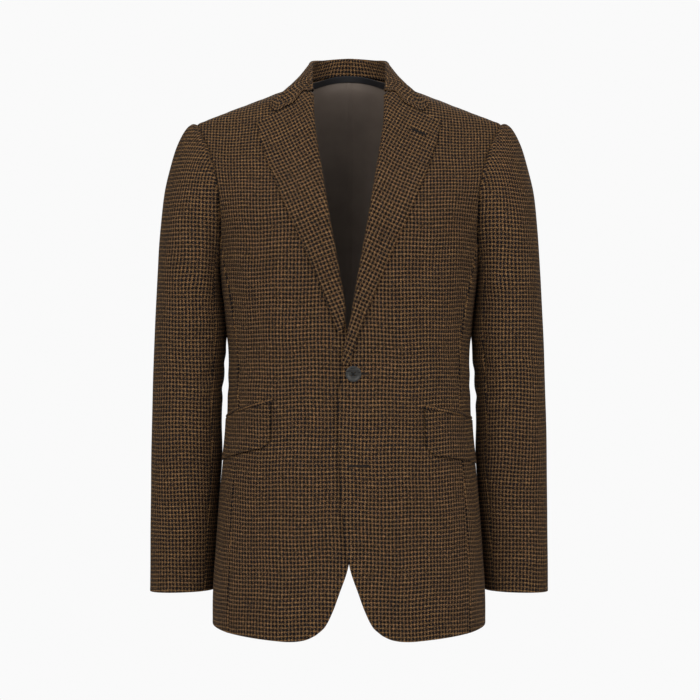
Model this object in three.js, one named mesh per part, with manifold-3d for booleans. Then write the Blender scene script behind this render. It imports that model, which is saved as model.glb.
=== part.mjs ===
import * as THREE from "three";
import Module from "manifold-3d";

const manifoldModule = await Module();
manifoldModule.setup();
const { Manifold } = manifoldModule;

// Millimetres. +Z up, the front of the jacket faces -Y, the wearer's left is +X.
// The origin is the middle of the neck base, level with the shoulder seams' neck ends.

// Cloth walls and the gaps between the pieces.
const CLOTH = 2.0;
const SLEEVE_CLOTH = 1.8;
const LINING = 1.0;
const SEAM_HALF = 0.22;
const SLEEVE_SEAM = 0.32;
const SIDE_Y = 5;

// Shoulder line: its height at the middle and its fall for each millimetre outward.
const RIDGE_TOP = 30.5;
const RIDGE_FALL = 0.3815;
const NECK_HALF = 72;
const SHOULDER_TIP = 214;

// Chest and shoulder blades above the armholes.
const CHEST = { depth: 136, reach: 235, power: 2.3, drop: 240, round: 1.5, ease: 0.625 };
const BLADES = { depth: 118, reach: 235, power: 2.6, drop: 200, round: 2, ease: 0.6, neckEase: -0.18 };
const NECK_BACK = { depth: 68, rise: 19, round: 0.6, fade: 8 };
const BLEND = { top: -110, bottom: -215 };
const SECTION_POWER = 2.4;

// Body sections, hem to shoulder: half width, depth before and behind the side line.
const BODY = [
  { z: -790, half: 191.4, front: 143, back: 126 },
  { z: -714, half: 191.2, front: 142, back: 125 },
  { z: -650, half: 187.4, front: 141, back: 123 },
  { z: -580, half: 182.4, front: 140, back: 120 },
  { z: -530, half: 177.6, front: 139, back: 115 },
  { z: -500, half: 173.8, front: 138.5, back: 112 },
  { z: -470, half: 171.4, front: 138, back: 109 },
  { z: -440, half: 170.6, front: 137, back: 106 },
  { z: -415, half: 169.8, front: 136.5, back: 106 },
  { z: -395, half: 168.9, front: 136, back: 106 },
  { z: -375, half: 168.9, front: 136, back: 108 },
  { z: -341, half: 171.0, front: 137, back: 113 },
  { z: -300, half: 176.0, front: 139, back: 119 },
  { z: -250, half: 182.0, front: 141, back: 124 },
  { z: -215, half: 184.5, front: 140, back: 125 },
  { z: -150, half: 191.0, front: 138, back: 122 },
  { z: -100, half: 206.0, front: 134, back: 118 },
  { z: -50, half: 232.0, front: 130, back: 114 },
  { z: 0, half: 240.0, front: 130, back: 114 },
  { z: 40, half: 240.0, front: 130, back: 114 },
];

// Front edge, hem corner to neck. roll is how far the lapel's fold stands inward of the panel.
const FRONT_EDGE = [
  { x: 45.0, z: -756.2, roll: 0 },
  { x: 30.0, z: -741.8, roll: 0 },
  { x: 20.6, z: -721.0, roll: 0 },
  { x: 13.2, z: -700.7, roll: 0 },
  { x: 6.2, z: -680.4, roll: 0 },
  { x: -0.4, z: -660.2, roll: 0 },
  { x: -4.2, z: -633.2, roll: 0 },
  { x: -7.0, z: -603.5, roll: 0 },
  { x: -11.6, z: -545.4, roll: 0 },
  { x: -13.8, z: -481.8, roll: 0 },
  { x: -14.2, z: -437.2, roll: 0 },
  { x: -12.4, z: -411.0, roll: 0.5 },
  { x: -9.9, z: -395.0, roll: 2.0 },
  { x: -5.4, z: -364.1, roll: 2.8 },
  { x: 1.9, z: -331.6, roll: 3.4 },
  { x: 9.9, z: -281.7, roll: 3.8 },
  { x: 18.0, z: -234.4, roll: 4 },
  { x: 27.7, z: -180.1, roll: 4 },
  { x: 35.4, z: -131.4, roll: 4 },
  { x: 43.2, z: -81.7, roll: 4 },
  { x: 46.8, z: -58.5, roll: 3.8 },
  { x: 48.8, z: -37.9, roll: 3 },
  { x: 50.2, z: -14.0, roll: 1.5 },
];
const NECK_EDGE = [
  { x: 57.6, z: -5.6 },
  { x: 64.5, z: 0.0 },
  { x: 72.0, z: 3.03 },
];
const FRONT_HEM = [
  { x: 45.0, z: -756.2 },
  { x: 59.5, z: -762.8 },
  { x: 79.2, z: -765.4 },
  { x: 98.3, z: -764.8 },
  { x: 136.4, z: -761.8 },
  { x: 165.0, z: -758.5 },
];
const BACK_HEM = [
  { theta: 60, z: -758.5 },
  { theta: 75, z: -754.5 },
  { theta: 90, z: -751 },
  { theta: 118, z: -748 },
  { theta: 180, z: -749 },
];

// Outer edge of the lapel, break to point, and its seam with the collar.
const LAPEL_EDGE = [
  { x: -0.6, z: -390.0 },
  { x: 1.4, z: -384.0 },
  { x: 7.4, z: -365.4 },
  { x: 14.2, z: -345.2 },
  { x: 25.7, z: -315.4 },
  { x: 37.8, z: -283.0 },
  { x: 50.7, z: -253.3 },
  { x: 62.2, z: -224.8 },
  { x: 81.3, z: -183.8 },
  { x: 98.9, z: -141.7 },
  { x: 111.9, z: -108.6 },
  { x: 119.2, z: -86.9 },
  { x: 124.6, z: -64.9 },
  { x: 126.6, z: -53.0 },
];
const GORGE = [
  { share: 0.0, x: 52.0, z: -14.5 },
  { share: 0.18, x: 63.0, z: -12.0 },
  { share: 0.4, x: 76.0, z: -27.8 },
  { share: 0.68, x: 101.0, z: -40.4 },
  { share: 1.0, x: 126.6, z: -53.0 },
];
// The right lapel goes under the left front and stops beside its fold.
const UNDER_LAPEL = { end: -345, liftFrom: -286, liftOver: 20, turn: -12, apart: [
  { z: -308, shift: 0 },
  { z: -320, shift: 2 },
  { z: -331, shift: 5 },
  { z: -347, shift: 12 },
] };
const LAP = { drop: 6.5, near: -10, far: -95, high: -225, low: -300 };

// How high the turned cloth stands off the front, at the fold and at the edge.
const TURN = { gap: 0.95, fold: 5.8, edge: 2.75, reach: 16, lower: -335, over: 50, least: 0.55 };
const LAPEL_ROWS = 17;
const LAPEL_COLUMNS = [0.0, 0.09, 0.18, 0.29, 0.4, 0.54, 0.68, 0.84, 1.0];
// The fold's half circle: turn angle in degrees from the panel's inner face to the top.
const FOLD_TURNS = [-90, -35, 20, 70];

// Armhole, from the shoulder tip down the front, under the arm and up the back.
const ARMHOLE = [
  { theta: 66.9, z: -51.1 },
  { x: 211.0, z: -57.0 },
  { x: 203.5, z: -71.6 },
  { x: 194.2, z: -93.8 },
  { x: 184.6, z: -128.5 },
  { x: 179.7, z: -162.2 },
  { x: 178.5, z: -185.0 },
  { theta: 75.0, z: -215.0 },
  { theta: 80.0, z: -239.0 },
  { theta: 86.0, z: -255.0 },
  { theta: 92.0, z: -258.0 },
  { theta: 99.0, z: -249.0 },
  { theta: 106.0, z: -225.0 },
  { theta: 107.5, z: -190.0 },
  { theta: 102.5, z: -155.0 },
  { theta: 104.0, z: -122.0 },
  { theta: 108.5, z: -92.0 },
  { theta: 111.0, z: -68.0 },
  { theta: 112.6, z: -57.0 },
  { theta: 113.1, z: -51.1 },
];
// The armhole's rows where the front and back side seams start.
const ARMHOLE_SEAM = { front: 7, back: 12 };
// Share of the way round the armhole at each sleeve column.
const ROUND = [
  0, 0.014, 0.034, 0.068, 0.104, 0.14, 0.178, 0.216, 0.256, 0.298,
  0.34, 0.38, 0.42, 0.46, 0.5, 0.54, 0.58, 0.62, 0.66, 0.702,
  0.744, 0.784, 0.822, 0.86, 0.896, 0.932, 0.966, 0.986, 1,
];
const SEAM_COLUMN = { frontSide: 10, backSide: 18, sleeveFront: 11, sleeveBack: 19 };

// Seams from the armhole to the hem, and the heights of the rows they share.
const FRONT_SEAM = [
  { z: -215, theta: 75 },
  { z: -300, theta: 68 },
  { z: -425, theta: 64 },
  { z: -560, theta: 62 },
  { z: -758.5, theta: 60 },
];
const BACK_SEAM = [
  { z: -225, theta: 106 },
  { z: -300, theta: 112 },
  { z: -425, theta: 117 },
  { z: -560, theta: 118 },
  { z: -748, theta: 118 },
];
const LOWER_ROWS = 15;
const EDGE_CROWDING = 1.25;
const ROW_EASE = 0.06;
const FRONT_COLUMNS = 13;
// Weight of height against angle where the hem's path is measured.
const HEM_FALL = 0.2;
const SEAM_ANGLE = 0.075;
const VENT = { top: -528, half: 31, power: 0.85 };
// Where the back's columns meet its neck and shoulder seams.
const BACK_COLUMNS = [SEAM_HALF, 15, 30, 44, 56, 66, NECK_HALF, 92, 116, 140, 165, 190, SHOULDER_TIP];

// Sleeve rings, shoulder to cuff: outer and inner point, middle depth, half depth.
const SLEEVE = [
  { outX: 215.0, outZ: -50.7, inX: 182.2, inZ: -258, midY: 3, deep: 60, own: 0 },
  { outX: 222.7, outZ: -52.6, inX: 182.0, inZ: -262, midY: 3, deep: 63, own: 0.12 },
  { outX: 231.2, outZ: -59.4, inX: 181.6, inZ: -266, midY: 3.5, deep: 66, own: 0.3 },
  { outX: 242.6, outZ: -82.2, inX: 180.7, inZ: -274, midY: 4, deep: 69, own: 0.52 },
  { outX: 251.2, outZ: -111.0, inX: 179.6, inZ: -283, midY: 5, deep: 70.5, own: 0.72 },
  { outX: 259.7, outZ: -148.0, inX: 178.2, inZ: -294, midY: 6, deep: 71, own: 0.88 },
  { outX: 264.4, outZ: -195.0, inX: 176.7, inZ: -308, midY: 7, deep: 70.5, own: 0.97 },
  { outX: 268.2, outZ: -245.0, inX: 174.8, inZ: -324, midY: 8, deep: 69.5, own: 1 },
  { outX: 271.0, outZ: -300.0, inX: 173.0, inZ: -345, midY: 9, deep: 67.5, own: 1 },
  { outX: 273.8, outZ: -355.0, inX: 173.9, inZ: -378, midY: 10, deep: 65, own: 1 },
  { outX: 276.2, outZ: -415.0, inX: 177.6, inZ: -422, midY: 13, deep: 62, own: 1 },
  { outX: 278.0, outZ: -468.0, inX: 179.4, inZ: -470, midY: 16, deep: 59, own: 1 },
  { outX: 279.2, outZ: -518.0, inX: 178.7, inZ: -518, midY: 19.5, deep: 56, own: 1 },
  { outX: 280.0, outZ: -568.0, inX: 182.3, inZ: -567, midY: 23, deep: 53, own: 1 },
  { outX: 280.6, outZ: -618.0, inX: 186.1, inZ: -616, midY: 26, deep: 50, own: 1 },
  { outX: 281.1, outZ: -665.0, inX: 189.1, inZ: -663, midY: 29, deep: 47.5, own: 1 },
  { outX: 281.5, outZ: -710.5, inX: 191.9, inZ: -708, midY: 31, deep: 46, own: 1 },
];
const SLEEVE_POWER = 2.15;
const SLEEVE_CLEAR = 0.75;
// Rings over which the folds come in below the shoulder, and the shares of the front and the back.
const FOLD_RINGS = 3;
const QUARTER = { front: 0.25, back: 0.75 };

// Collar stations, middle of the back to the front end: foot, fold and leaf edge.
const COLLAR = [
  { way: 0, footX: 0, footY: 71, footZ: 22.8, foldX: 0, foldY: 76, foldZ: 48.6,
    edgeX: 0, edgeY: 87, edgeZ: 6, lean: 0 },
  { way: 0.18, footX: 24, footY: 66.2, footZ: 20.8, foldX: 20, foldY: 73, foldZ: 47.4,
    edgeX: 27, edgeY: 84.5, edgeZ: 4, lean: 0 },
  { way: 0.36, footX: 44, footY: 52.6, footZ: 15.8, foldX: 36.5, foldY: 61.5, foldZ: 44.6,
    edgeX: 52, edgeY: 74.5, edgeZ: -1.5, lean: 0 },
  { way: 0.52, footX: 57.5, footY: 35.5, footZ: 11.2, foldX: 49.3, foldY: 44, foldZ: 42.2,
    edgeX: 69, edgeY: 53, edgeZ: -6, lean: 0 },
  { way: 0.66, footX: 65.6, footY: 16, footZ: 8, foldX: 54, foldY: 22, foldZ: 37.2,
    edgeX: 77, edgeY: 26, edgeZ: -3, lean: 6 },
  { way: 0.78, footX: 66.4, footY: 1, footZ: 5.4, foldX: 54, foldY: 2, foldZ: 27,
    edgeX: 81, edgeY: 3, edgeZ: 2.3, lean: 16 },
  { way: 0.88, footX: 61.2, footY: -12.5, footZ: 1.2, foldX: 54, foldY: -14.5, foldZ: 13,
    edgeX: 92.5, edgeY: -12.5, edgeZ: -7.2, lean: 29 },
  { way: 0.95, footX: 55.2, footY: -23, footZ: -3.8, foldX: 53, foldY: -27, foldZ: 2,
    edgeX: 103, edgeY: -23, edgeZ: -17.6, lean: 38 },
  { way: 1, footX: 50.2, footY: -32.3, footZ: -10.6, foldX: 51.4, foldY: -36.8, foldZ: -6.4,
    edgeX: 112.4, edgeY: -32, edgeZ: -28.6, lean: 44 },
];
const COLLAR_FOLD = 3.1;
const COLLAR_BOW = 2.2;
const COLLAR_END = { from: 0.86, path: [
  { share: 0.0, x: 50.2, z: -12.4, high: 5.8 },
  { share: 0.22, x: 63.0, z: -10.6, high: 4.6 },
  { share: 0.45, x: 76.0, z: -26.3, high: 3.5 },
  { share: 0.78, x: 101.0, z: -38.8, high: 2.8 },
  { share: 1.0, x: 112.4, z: -28.6, high: 2.8 },
] };
const COLLAR_STATIONS = 13;
const STATION_EASE = 0.08;
const STAND_SHARES = [0, 0.34, 0.68];
const ROLL_ANGLES = [-90, -45, 0, 45];
const LEAF_SHARES = [0, 0.11, 0.22, 0.34, 0.45, 0.61, 0.78, 1];
const BOW_LIFT = 0.6;

// Hip pockets: front and back angle, height of the flap's top there, its depth.
const POCKET = {
  left: { from: 37.2, to: 83, topFrom: -451.0, topTo: -467.5, depth: 60.5, corner: 9 },
  right: { from: 38.4, to: 83, topFrom: -442.5, topTo: -465.0, depth: 58.5, corner: 9 },
};
const POCKET_COLUMNS = 11;
const FLAP = { low: 1.0, high: 2.6, rows: 5, cornerColumns: 1.2, cornerRows: 3 };
const JET = { tall: 5, gap: 1.0, beyond: 0.9, low: 0.9, high: 2.0 };

// Buttons: four holes, a domed rim and a well.
const BUTTON = {
  radius: 10.7, thick: 3.0, edge: 0.7, stand: 0.6, corners: 28,
  well: 7.2, wellDeep: 0.7, hole: 0.95, apart: 2.1,
  holeCorners: 8,
};
const UPPER_BUTTON = { x: 6.0, z: -402.0 };
const LOWER_BUTTON = { x: 6.0, z: -526.5, radius: 10, thick: 2.3, stand: 0.75 };

const LINING_AREA = { inside: 3.6, firstRow: 9, columns: 6 };
const STRIP = { clear: 0.36, thick: 0.9, columns: 4, low: 0, high: 0.95 };

// Largest folds in the sleeves: ring height, share round, half height, half share, depth.
const SLEEVE_FOLDS = [
  { z: -335, share: 0.27, tall: 22, wide: 0.1, depth: 2.2, slope: 160 },
  { z: -395, share: 0.3, tall: 18, wide: 0.11, depth: 2.6, slope: 190 },
  { z: -452, share: 0.24, tall: 24, wide: 0.09, depth: 1.8, slope: 120 },
  { z: -300, share: 0.74, tall: 24, wide: 0.1, depth: 2.2, slope: -150 },
  { z: -560, share: 0.2, tall: 30, wide: 0.08, depth: 1.4, slope: 100 },
  { z: -420, share: 0.72, tall: 24, wide: 0.11, depth: 2.2, slope: -120 },
];

const COLOURS = { cloth: 0x6b4a35, lining: 0x40342f, strip: 0x1c1b1d, button: 0x3d3a3c };

const radians = (degrees) => (degrees * Math.PI) / 180;
const degrees = (angle) => (angle * 180) / Math.PI;
const clamp01 = (value) => Math.min(1, Math.max(0, value));
const lerp = (from, to, share) => from + (to - from) * share;
const smooth = (value) => {
  const t = clamp01(value);
  return t * t * (3 - 2 * t);
};
const add = (a, b, scale = 1) => [a[0] + b[0] * scale, a[1] + b[1] * scale, a[2] + b[2] * scale];
const minus = (a, b) => [a[0] - b[0], a[1] - b[1], a[2] - b[2]];
const dot = (a, b) => a[0] * b[0] + a[1] * b[1] + a[2] * b[2];
const cross = (a, b) => [a[1] * b[2] - a[2] * b[1], a[2] * b[0] - a[0] * b[2], a[0] * b[1] - a[1] * b[0]];
const unit = (a) => {
  const size = Math.hypot(...a) || 1;
  return [a[0] / size, a[1] / size, a[2] / size];
};
const mixPoint = (a, b, share) => a.map((value, axis) => lerp(value, b[axis], share));

// One column of a table, read at any key by a smooth curve through its rows.
function readTable(rows, keyName, column, key) {
  const rising = rows[rows.length - 1][keyName] > rows[0][keyName];
  const sorted = rising ? rows : [...rows].reverse();
  const last = sorted.length - 1;
  const at = Math.min(Math.max(key, sorted[0][keyName]), sorted[last][keyName]);
  let low = 0;
  while (low < last - 1 && sorted[low + 1][keyName] < at) {
    low += 1;
  }
  const slopeAt = (row) => {
    const before = sorted[Math.max(0, row - 1)];
    const after = sorted[Math.min(last, row + 1)];
    return (after[column] - before[column]) / (after[keyName] - before[keyName]);
  };
  const span = sorted[low + 1][keyName] - sorted[low][keyName];
  const t = (at - sorted[low][keyName]) / span;
  const start = sorted[low][column];
  const end = sorted[low + 1][column];
  const rise = t * t * (3 - 2 * t);
  const leave = t * (1 - t) * (1 - t) * span * slopeAt(low);
  const arrive = t * t * (t - 1) * span * slopeAt(low + 1);
  return lerp(start, end, rise) + leave + arrive;
}

// A smooth path through points, read by its share of the length.
function pathThrough(points) {
  const rows = points.map((point) => ({ u: point[0], v: point[1], way: 0 }));
  for (let row = 1; row < rows.length; row += 1) {
    const [from, to] = [rows[row - 1], rows[row]];
    to.way = from.way + Math.hypot(to.u - from.u, to.v - from.v);
  }
  const total = rows[rows.length - 1].way;
  return (share) => [readTable(rows, "way", "u", share * total), readTable(rows, "way", "v", share * total)];
}

// Body form.

const halfWidth = (z) => readTable(BODY, "z", "half", z);
const ridge = (x) => RIDGE_TOP - RIDGE_FALL * Math.abs(x);

function upperFront(x, z) {
  const across = Math.max(0, 1 - (Math.abs(x) / CHEST.reach) ** CHEST.power);
  const down = clamp01((ridge(x) - z) / CHEST.drop);
  const full = (1 - (1 - down) ** CHEST.round) ** CHEST.ease;
  return SIDE_Y - SEAM_HALF - CHEST.depth * Math.sqrt(across) * full;
}

function backTop(x) {
  const inside = Math.max(0, 1 - (x / NECK_HALF) ** 2);
  const z = ridge(Math.max(Math.abs(x), NECK_HALF)) + NECK_BACK.rise * inside;
  return { depth: NECK_BACK.depth * inside ** NECK_BACK.round, z, inside };
}

function upperBack(x, z) {
  const top = backTop(x);
  const across = Math.max(0, 1 - (Math.abs(x) / BLADES.reach) ** BLADES.power);
  const down = clamp01((top.z - z) / BLADES.drop);
  const full = (1 - (1 - down) ** BLADES.round) ** (BLADES.ease + BLADES.neckEase * top.inside);
  const neck = top.depth * (1 - full) * (1 - down) ** NECK_BACK.fade;
  return SIDE_Y + SEAM_HALF + neck + BLADES.depth * Math.sqrt(across) * full;
}

// A point of the body: theta is 0 at the front, 90 at the side and 180 at the back.
function bodyPoint(theta, z) {
  const half = halfWidth(z);
  const sine = Math.sin(radians(theta));
  const x = half * sine;
  const front = Math.cos(radians(theta)) > 0;
  const share = Math.max(0, 1 - Math.abs(sine) ** SECTION_POWER) ** (1 / SECTION_POWER);
  const low = front
    ? SIDE_Y - readTable(BODY, "z", "front", z) * share
    : SIDE_Y + readTable(BODY, "z", "back", z) * share;
  const mix = smooth((z - BLEND.top) / (BLEND.bottom - BLEND.top));
  const high = front ? upperFront(x, z) : upperBack(x, z);
  return [x, lerp(high, low, mix), z];
}

const frontTheta = (x, z) => degrees(Math.asin(Math.max(-1, Math.min(1, x / halfWidth(z)))));
const backTheta = (x, z) => 180 - frontTheta(x, z);

// The wearer's right front lies under the left one where they cross.
function underDrop(point) {
  const across = smooth((point[0] - LAP.far) / (LAP.near - LAP.far));
  const down = smooth((point[2] - LAP.high) / (LAP.low - LAP.high));
  return LAP.drop * across * down;
}

// Panels.

// A patch between four edges; each edge and each row share gives a chart point.
function patch(edges, acrossShares, upShares) {
  const corner = {
    start: edges.inner(0),
    startTop: edges.inner(upShares.length - 1),
    end: edges.outer(0),
    endTop: edges.outer(upShares.length - 1),
  };
  return upShares.map((up, row) => acrossShares.map((across, column) => {
    const inner = edges.inner(row);
    const outer = edges.outer(row);
    const bottom = edges.bottom(column);
    const top = edges.top(column);
    return [0, 1].map((axis) => {
      const sides = lerp(inner[axis], outer[axis], across);
      const ends = lerp(bottom[axis], top[axis], up);
      const low = lerp(corner.start[axis], corner.end[axis], across);
      const high = lerp(corner.startTop[axis], corner.endTop[axis], across);
      return sides + ends - lerp(low, high, up);
    });
  }));
}

// Outward normal of a surface function at a chart point, from inside the patch.
function chartNormal(surface, at, toward) {
  const step = 0.002;
  const u = toward[0] === 0 ? step : step * Math.sign(toward[0]);
  const v = toward[1] === 0 ? step : step * Math.sign(toward[1]);
  const here = surface(at[0], at[1]);
  const alongU = minus(surface(at[0] + u, at[1]), here);
  const alongV = minus(surface(at[0], at[1] + v), here);
  const normal = unit(cross(unit(alongU), unit(alongV)));
  return u * v > 0 ? normal : normal.map((value) => -value);
}

// The chart's points with a skin on each side of the body form.
function bodySkins(chart, high, low, shape = bodyPoint) {
  const middle = chart[Math.floor(chart.length / 2)][Math.floor(chart[0].length / 2)];
  return chart.map((row) => row.map((at) => {
    const toward = [middle[0] - at[0] || 1, middle[1] - at[1] || 1];
    const point = shape(at[0], at[1]);
    const normal = chartNormal(shape, at, toward);
    return { outer: add(point, normal, high), inner: add(point, normal, low) };
  }));
}

// Solids.

// A closed wall between an outer and an inner skin, each a grid of points.
function wall(skins, mirrored = false) {
  const rows = skins.length;
  const columns = skins[0].length;
  const positions = [];
  const put = (point) => positions.push(mirrored ? -point[0] : point[0], point[1], point[2]);
  skins.forEach((row) => row.forEach((cell) => put(cell.outer)));
  skins.forEach((row) => row.forEach((cell) => put(cell.inner)));
  const layer = rows * columns;
  const [last, end] = [rows - 1, columns - 1];
  const outer = (row, column) => row * columns + column;
  const inner = (row, column) => layer + row * columns + column;
  const faces = [];
  const quad = (a, b, c, d) => faces.push([a, b, c], [a, c, d]);
  for (let row = 0; row < rows - 1; row += 1) {
    for (let column = 0; column < columns - 1; column += 1) {
      quad(outer(row, column), outer(row, column + 1), outer(row + 1, column + 1), outer(row + 1, column));
      quad(inner(row, column), inner(row + 1, column), inner(row + 1, column + 1), inner(row, column + 1));
    }
  }
  for (let column = 0; column < columns - 1; column += 1) {
    quad(inner(0, column), inner(0, column + 1), outer(0, column + 1), outer(0, column));
    quad(outer(last, column), outer(last, column + 1), inner(last, column + 1), inner(last, column));
  }
  for (let row = 0; row < rows - 1; row += 1) {
    quad(outer(row, 0), outer(row + 1, 0), inner(row + 1, 0), inner(row, 0));
    quad(inner(row, end), inner(row + 1, end), outer(row + 1, end), outer(row, end));
  }
  return closedGeometry(positions, faces);
}

function closedGeometry(positions, faces) {
  const corner = (index) => [positions[index * 3], positions[index * 3 + 1], positions[index * 3 + 2]];
  const volume = faces.reduce((sum, face) => {
    const [a, b, c] = face.map(corner);
    return sum + dot(a, cross(b, c));
  }, 0);
  const turned = volume < 0 ? faces.map((face) => [face[0], face[2], face[1]]) : faces;
  const geometry = new THREE.BufferGeometry();
  geometry.setAttribute("position", new THREE.Float32BufferAttribute(positions, 3));
  geometry.setIndex(turned.flat());
  geometry.computeVertexNormals();
  return geometry;
}

function named(name, geometry, colour) {
  const material = new THREE.MeshStandardMaterial({ color: colour, roughness: 0.85 });
  material.name = name;
  const mesh = new THREE.Mesh(geometry, material);
  mesh.name = name;
  return mesh;
}

const evenly = (count) => Array.from({ length: count + 1 }, (_, step) => step / count);

// Armhole: the chart point at a share of the way round, and the point on the body.
const armholeRows = ARMHOLE.map((row) => [row.theta ?? frontTheta(row.x, row.z), row.z, 0]);

function armholeTable() {
  const rows = armholeRows.map((row) => ({ theta: row[0], z: row[1], way: 0 }));
  for (let row = 1; row < rows.length; row += 1) {
    const [from, to] = [rows[row - 1], rows[row]];
    const gap = minus(bodyPoint(to.theta, to.z), bodyPoint(from.theta, from.z));
    rows[row].way = rows[row - 1].way + Math.hypot(...gap);
  }
  return rows;
}
const armholeWays = armholeTable();
const armholeLength = armholeWays[armholeWays.length - 1].way;

// Share of the way at the two side seams, so that the rows meet there.
const junction = {
  front: armholeWays[ARMHOLE_SEAM.front].way / armholeLength,
  back: armholeWays[ARMHOLE_SEAM.back].way / armholeLength,
};

function armholeShare(column) {
  const at = ROUND[column];
  const knots = [
    { from: 0, to: 0 },
    { from: ROUND[SEAM_COLUMN.frontSide], to: junction.front },
    { from: ROUND[SEAM_COLUMN.backSide], to: junction.back },
    { from: 1, to: 1 },
  ];
  let piece = 0;
  while (piece < 2 && at > knots[piece + 1].from) {
    piece += 1;
  }
  const low = knots[piece];
  const high = knots[piece + 1];
  return lerp(low.to, high.to, (at - low.from) / (high.from - low.from));
}

function armholeChart(column) {
  const way = armholeShare(column) * armholeLength;
  return [readTable(armholeWays, "way", "theta", way), readTable(armholeWays, "way", "z", way)];
}

// Rows of the front and back panels: hem up to the armhole, then along it.
const easeRow = (share) => share - ROW_EASE * Math.sin(2 * Math.PI * share) / (2 * Math.PI);
const seamRows = (count) => evenly(count).map(easeRow);
const lowerShares = seamRows(LOWER_ROWS);

function frontSeam(row, shift = 0) {
  const z = lerp(FRONT_SEAM[4].z, FRONT_SEAM[0].z, lowerShares[row]);
  return [readTable(FRONT_SEAM, "z", "theta", z) + shift, z];
}

function backSeam(row, shift = 0) {
  const z = lerp(BACK_SEAM[4].z, BACK_SEAM[0].z, lowerShares[row]);
  return [readTable(BACK_SEAM, "z", "theta", z) + shift, z];
}

// Height shares by the outer edge's own length, for the patch's inner blending.
function upShares(points) {
  const ways = [0];
  for (let row = 1; row < points.length; row += 1) {
    const gap = minus(bodyPoint(...points[row]), bodyPoint(...points[row - 1]));
    ways.push(ways[row - 1] + Math.hypot(...gap));
  }
  return ways.map((way) => way / ways[ways.length - 1]);
}

function frontEdgeChart() {
  const rolled = FRONT_EDGE.map((row) => [row.x + row.roll, row.z]);
  const neck = NECK_EDGE.map((row) => [row.x, row.z]);
  const path = pathThrough([...rolled, ...neck]);
  return (share) => {
    const [x, z] = path(share);
    return [frontTheta(x, z), z];
  };
}

function frontPanel(under) {
  const outer = [];
  for (let row = 0; row <= LOWER_ROWS; row += 1) {
    outer.push(frontSeam(row, -SEAM_ANGLE));
  }
  for (let column = SEAM_COLUMN.frontSide - 1; column >= 0; column -= 1) {
    outer.push(armholeChart(column));
  }
  const ups = upShares(outer);
  const edge = frontEdgeChart();
  const across = evenly(FRONT_COLUMNS);
  const hem = pathThrough(FRONT_HEM.map((row) => [frontTheta(row.x, row.z), row.z * HEM_FALL]));
  const shoulder = (share) => {
    const x = lerp(NECK_HALF, SHOULDER_TIP, share);
    return [frontTheta(x, ridge(x)), ridge(x)];
  };
  const hemEnd = frontSeam(0, -SEAM_ANGLE);
  const edges = {
    inner: (row) => edge(ups[row] ** EDGE_CROWDING),
    outer: (row) => outer[row],
    bottom: (column) => {
      const [theta, z] = hem(across[column]);
      return column === across.length - 1 ? hemEnd : [theta, z / HEM_FALL];
    },
    top: (column) => (column === across.length - 1 ? outer[outer.length - 1] : shoulder(across[column])),
  };
  const chart = patch(edges, across, ups);
  const skins = bodySkins(chart, 0, -CLOTH);
  return under ? sinkSkins(skins) : skins;
}

// The under front moves straight back, so that its wall keeps its thickness.
const sink = (point) => [point[0], point[1] + underDrop([-point[0], point[1], point[2]]), point[2]];
const sinkCell = ({ outer, inner }) => ({ outer: sink(outer), inner: sink(inner) });
const sinkSkins = (skins) => skins.map((row) => row.map(sinkCell));

function sidePanel() {
  const first = SEAM_COLUMN.frontSide;
  const last = SEAM_COLUMN.backSide;
  const count = last - first;
  const across = evenly(count);
  const hem = (share) => {
    const theta = lerp(frontSeam(0, SEAM_ANGLE)[0], backSeam(0, -SEAM_ANGLE)[0], share);
    return [theta, readTable(BACK_HEM, "theta", "z", theta)];
  };
  const fix = (column) => {
    const [theta, z] = armholeChart(first + column);
    const shift = column === 0 ? SEAM_ANGLE : column === count ? -SEAM_ANGLE : 0;
    return [theta + shift, z];
  };
  const edges = {
    inner: (row) => frontSeam(row, SEAM_ANGLE),
    outer: (row) => backSeam(row, -SEAM_ANGLE),
    bottom: (column) => (column === 0 ? frontSeam(0, SEAM_ANGLE)
      : column === count ? backSeam(0, -SEAM_ANGLE) : hem(across[column])),
    top: fix,
  };
  return bodySkins(patch(edges, across, lowerShares), 0, -CLOTH);
}

function ventHalf(z) {
  const share = clamp01((VENT.top - z) / (VENT.top - BACK_HEM[4].z));
  return SEAM_HALF + VENT.half * share ** VENT.power;
}

function backChart() {
  const outer = [];
  for (let row = 0; row <= LOWER_ROWS; row += 1) {
    outer.push(backSeam(row, SEAM_ANGLE));
  }
  for (let column = SEAM_COLUMN.backSide + 1; column < ROUND.length; column += 1) {
    outer.push(armholeChart(column));
  }
  const ups = upShares(outer);
  const across = BACK_COLUMNS.map((x) => (x - SEAM_HALF) / (SHOULDER_TIP - SEAM_HALF));
  const centre = (row) => {
    const z = lerp(BACK_HEM[4].z, backTop(0).z, ups[row]);
    return [backTheta(ventHalf(z), z), z];
  };
  const hemStart = backSeam(0, SEAM_ANGLE);
  const edges = {
    inner: centre,
    outer: (row) => outer[row],
    bottom: (column) => {
      const theta = lerp(centre(0)[0], hemStart[0], across[column]);
      return [theta, column === across.length - 1 ? hemStart[1] : readTable(BACK_HEM, "theta", "z", theta)];
    },
    top: (column) => {
      const x = BACK_COLUMNS[column];
      const z = backTop(x).z;
      return column === across.length - 1 ? outer[outer.length - 1] : [backTheta(x, z), z];
    },
  };
  return patch(edges, across, ups);
}

// Sleeves.

const ringValue = (ring, column) => readTable(SLEEVE_ROWS, "ring", column, ring);
const SLEEVE_ROWS = SLEEVE.map((row, ring) => ({ ...row, ring }));

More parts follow.
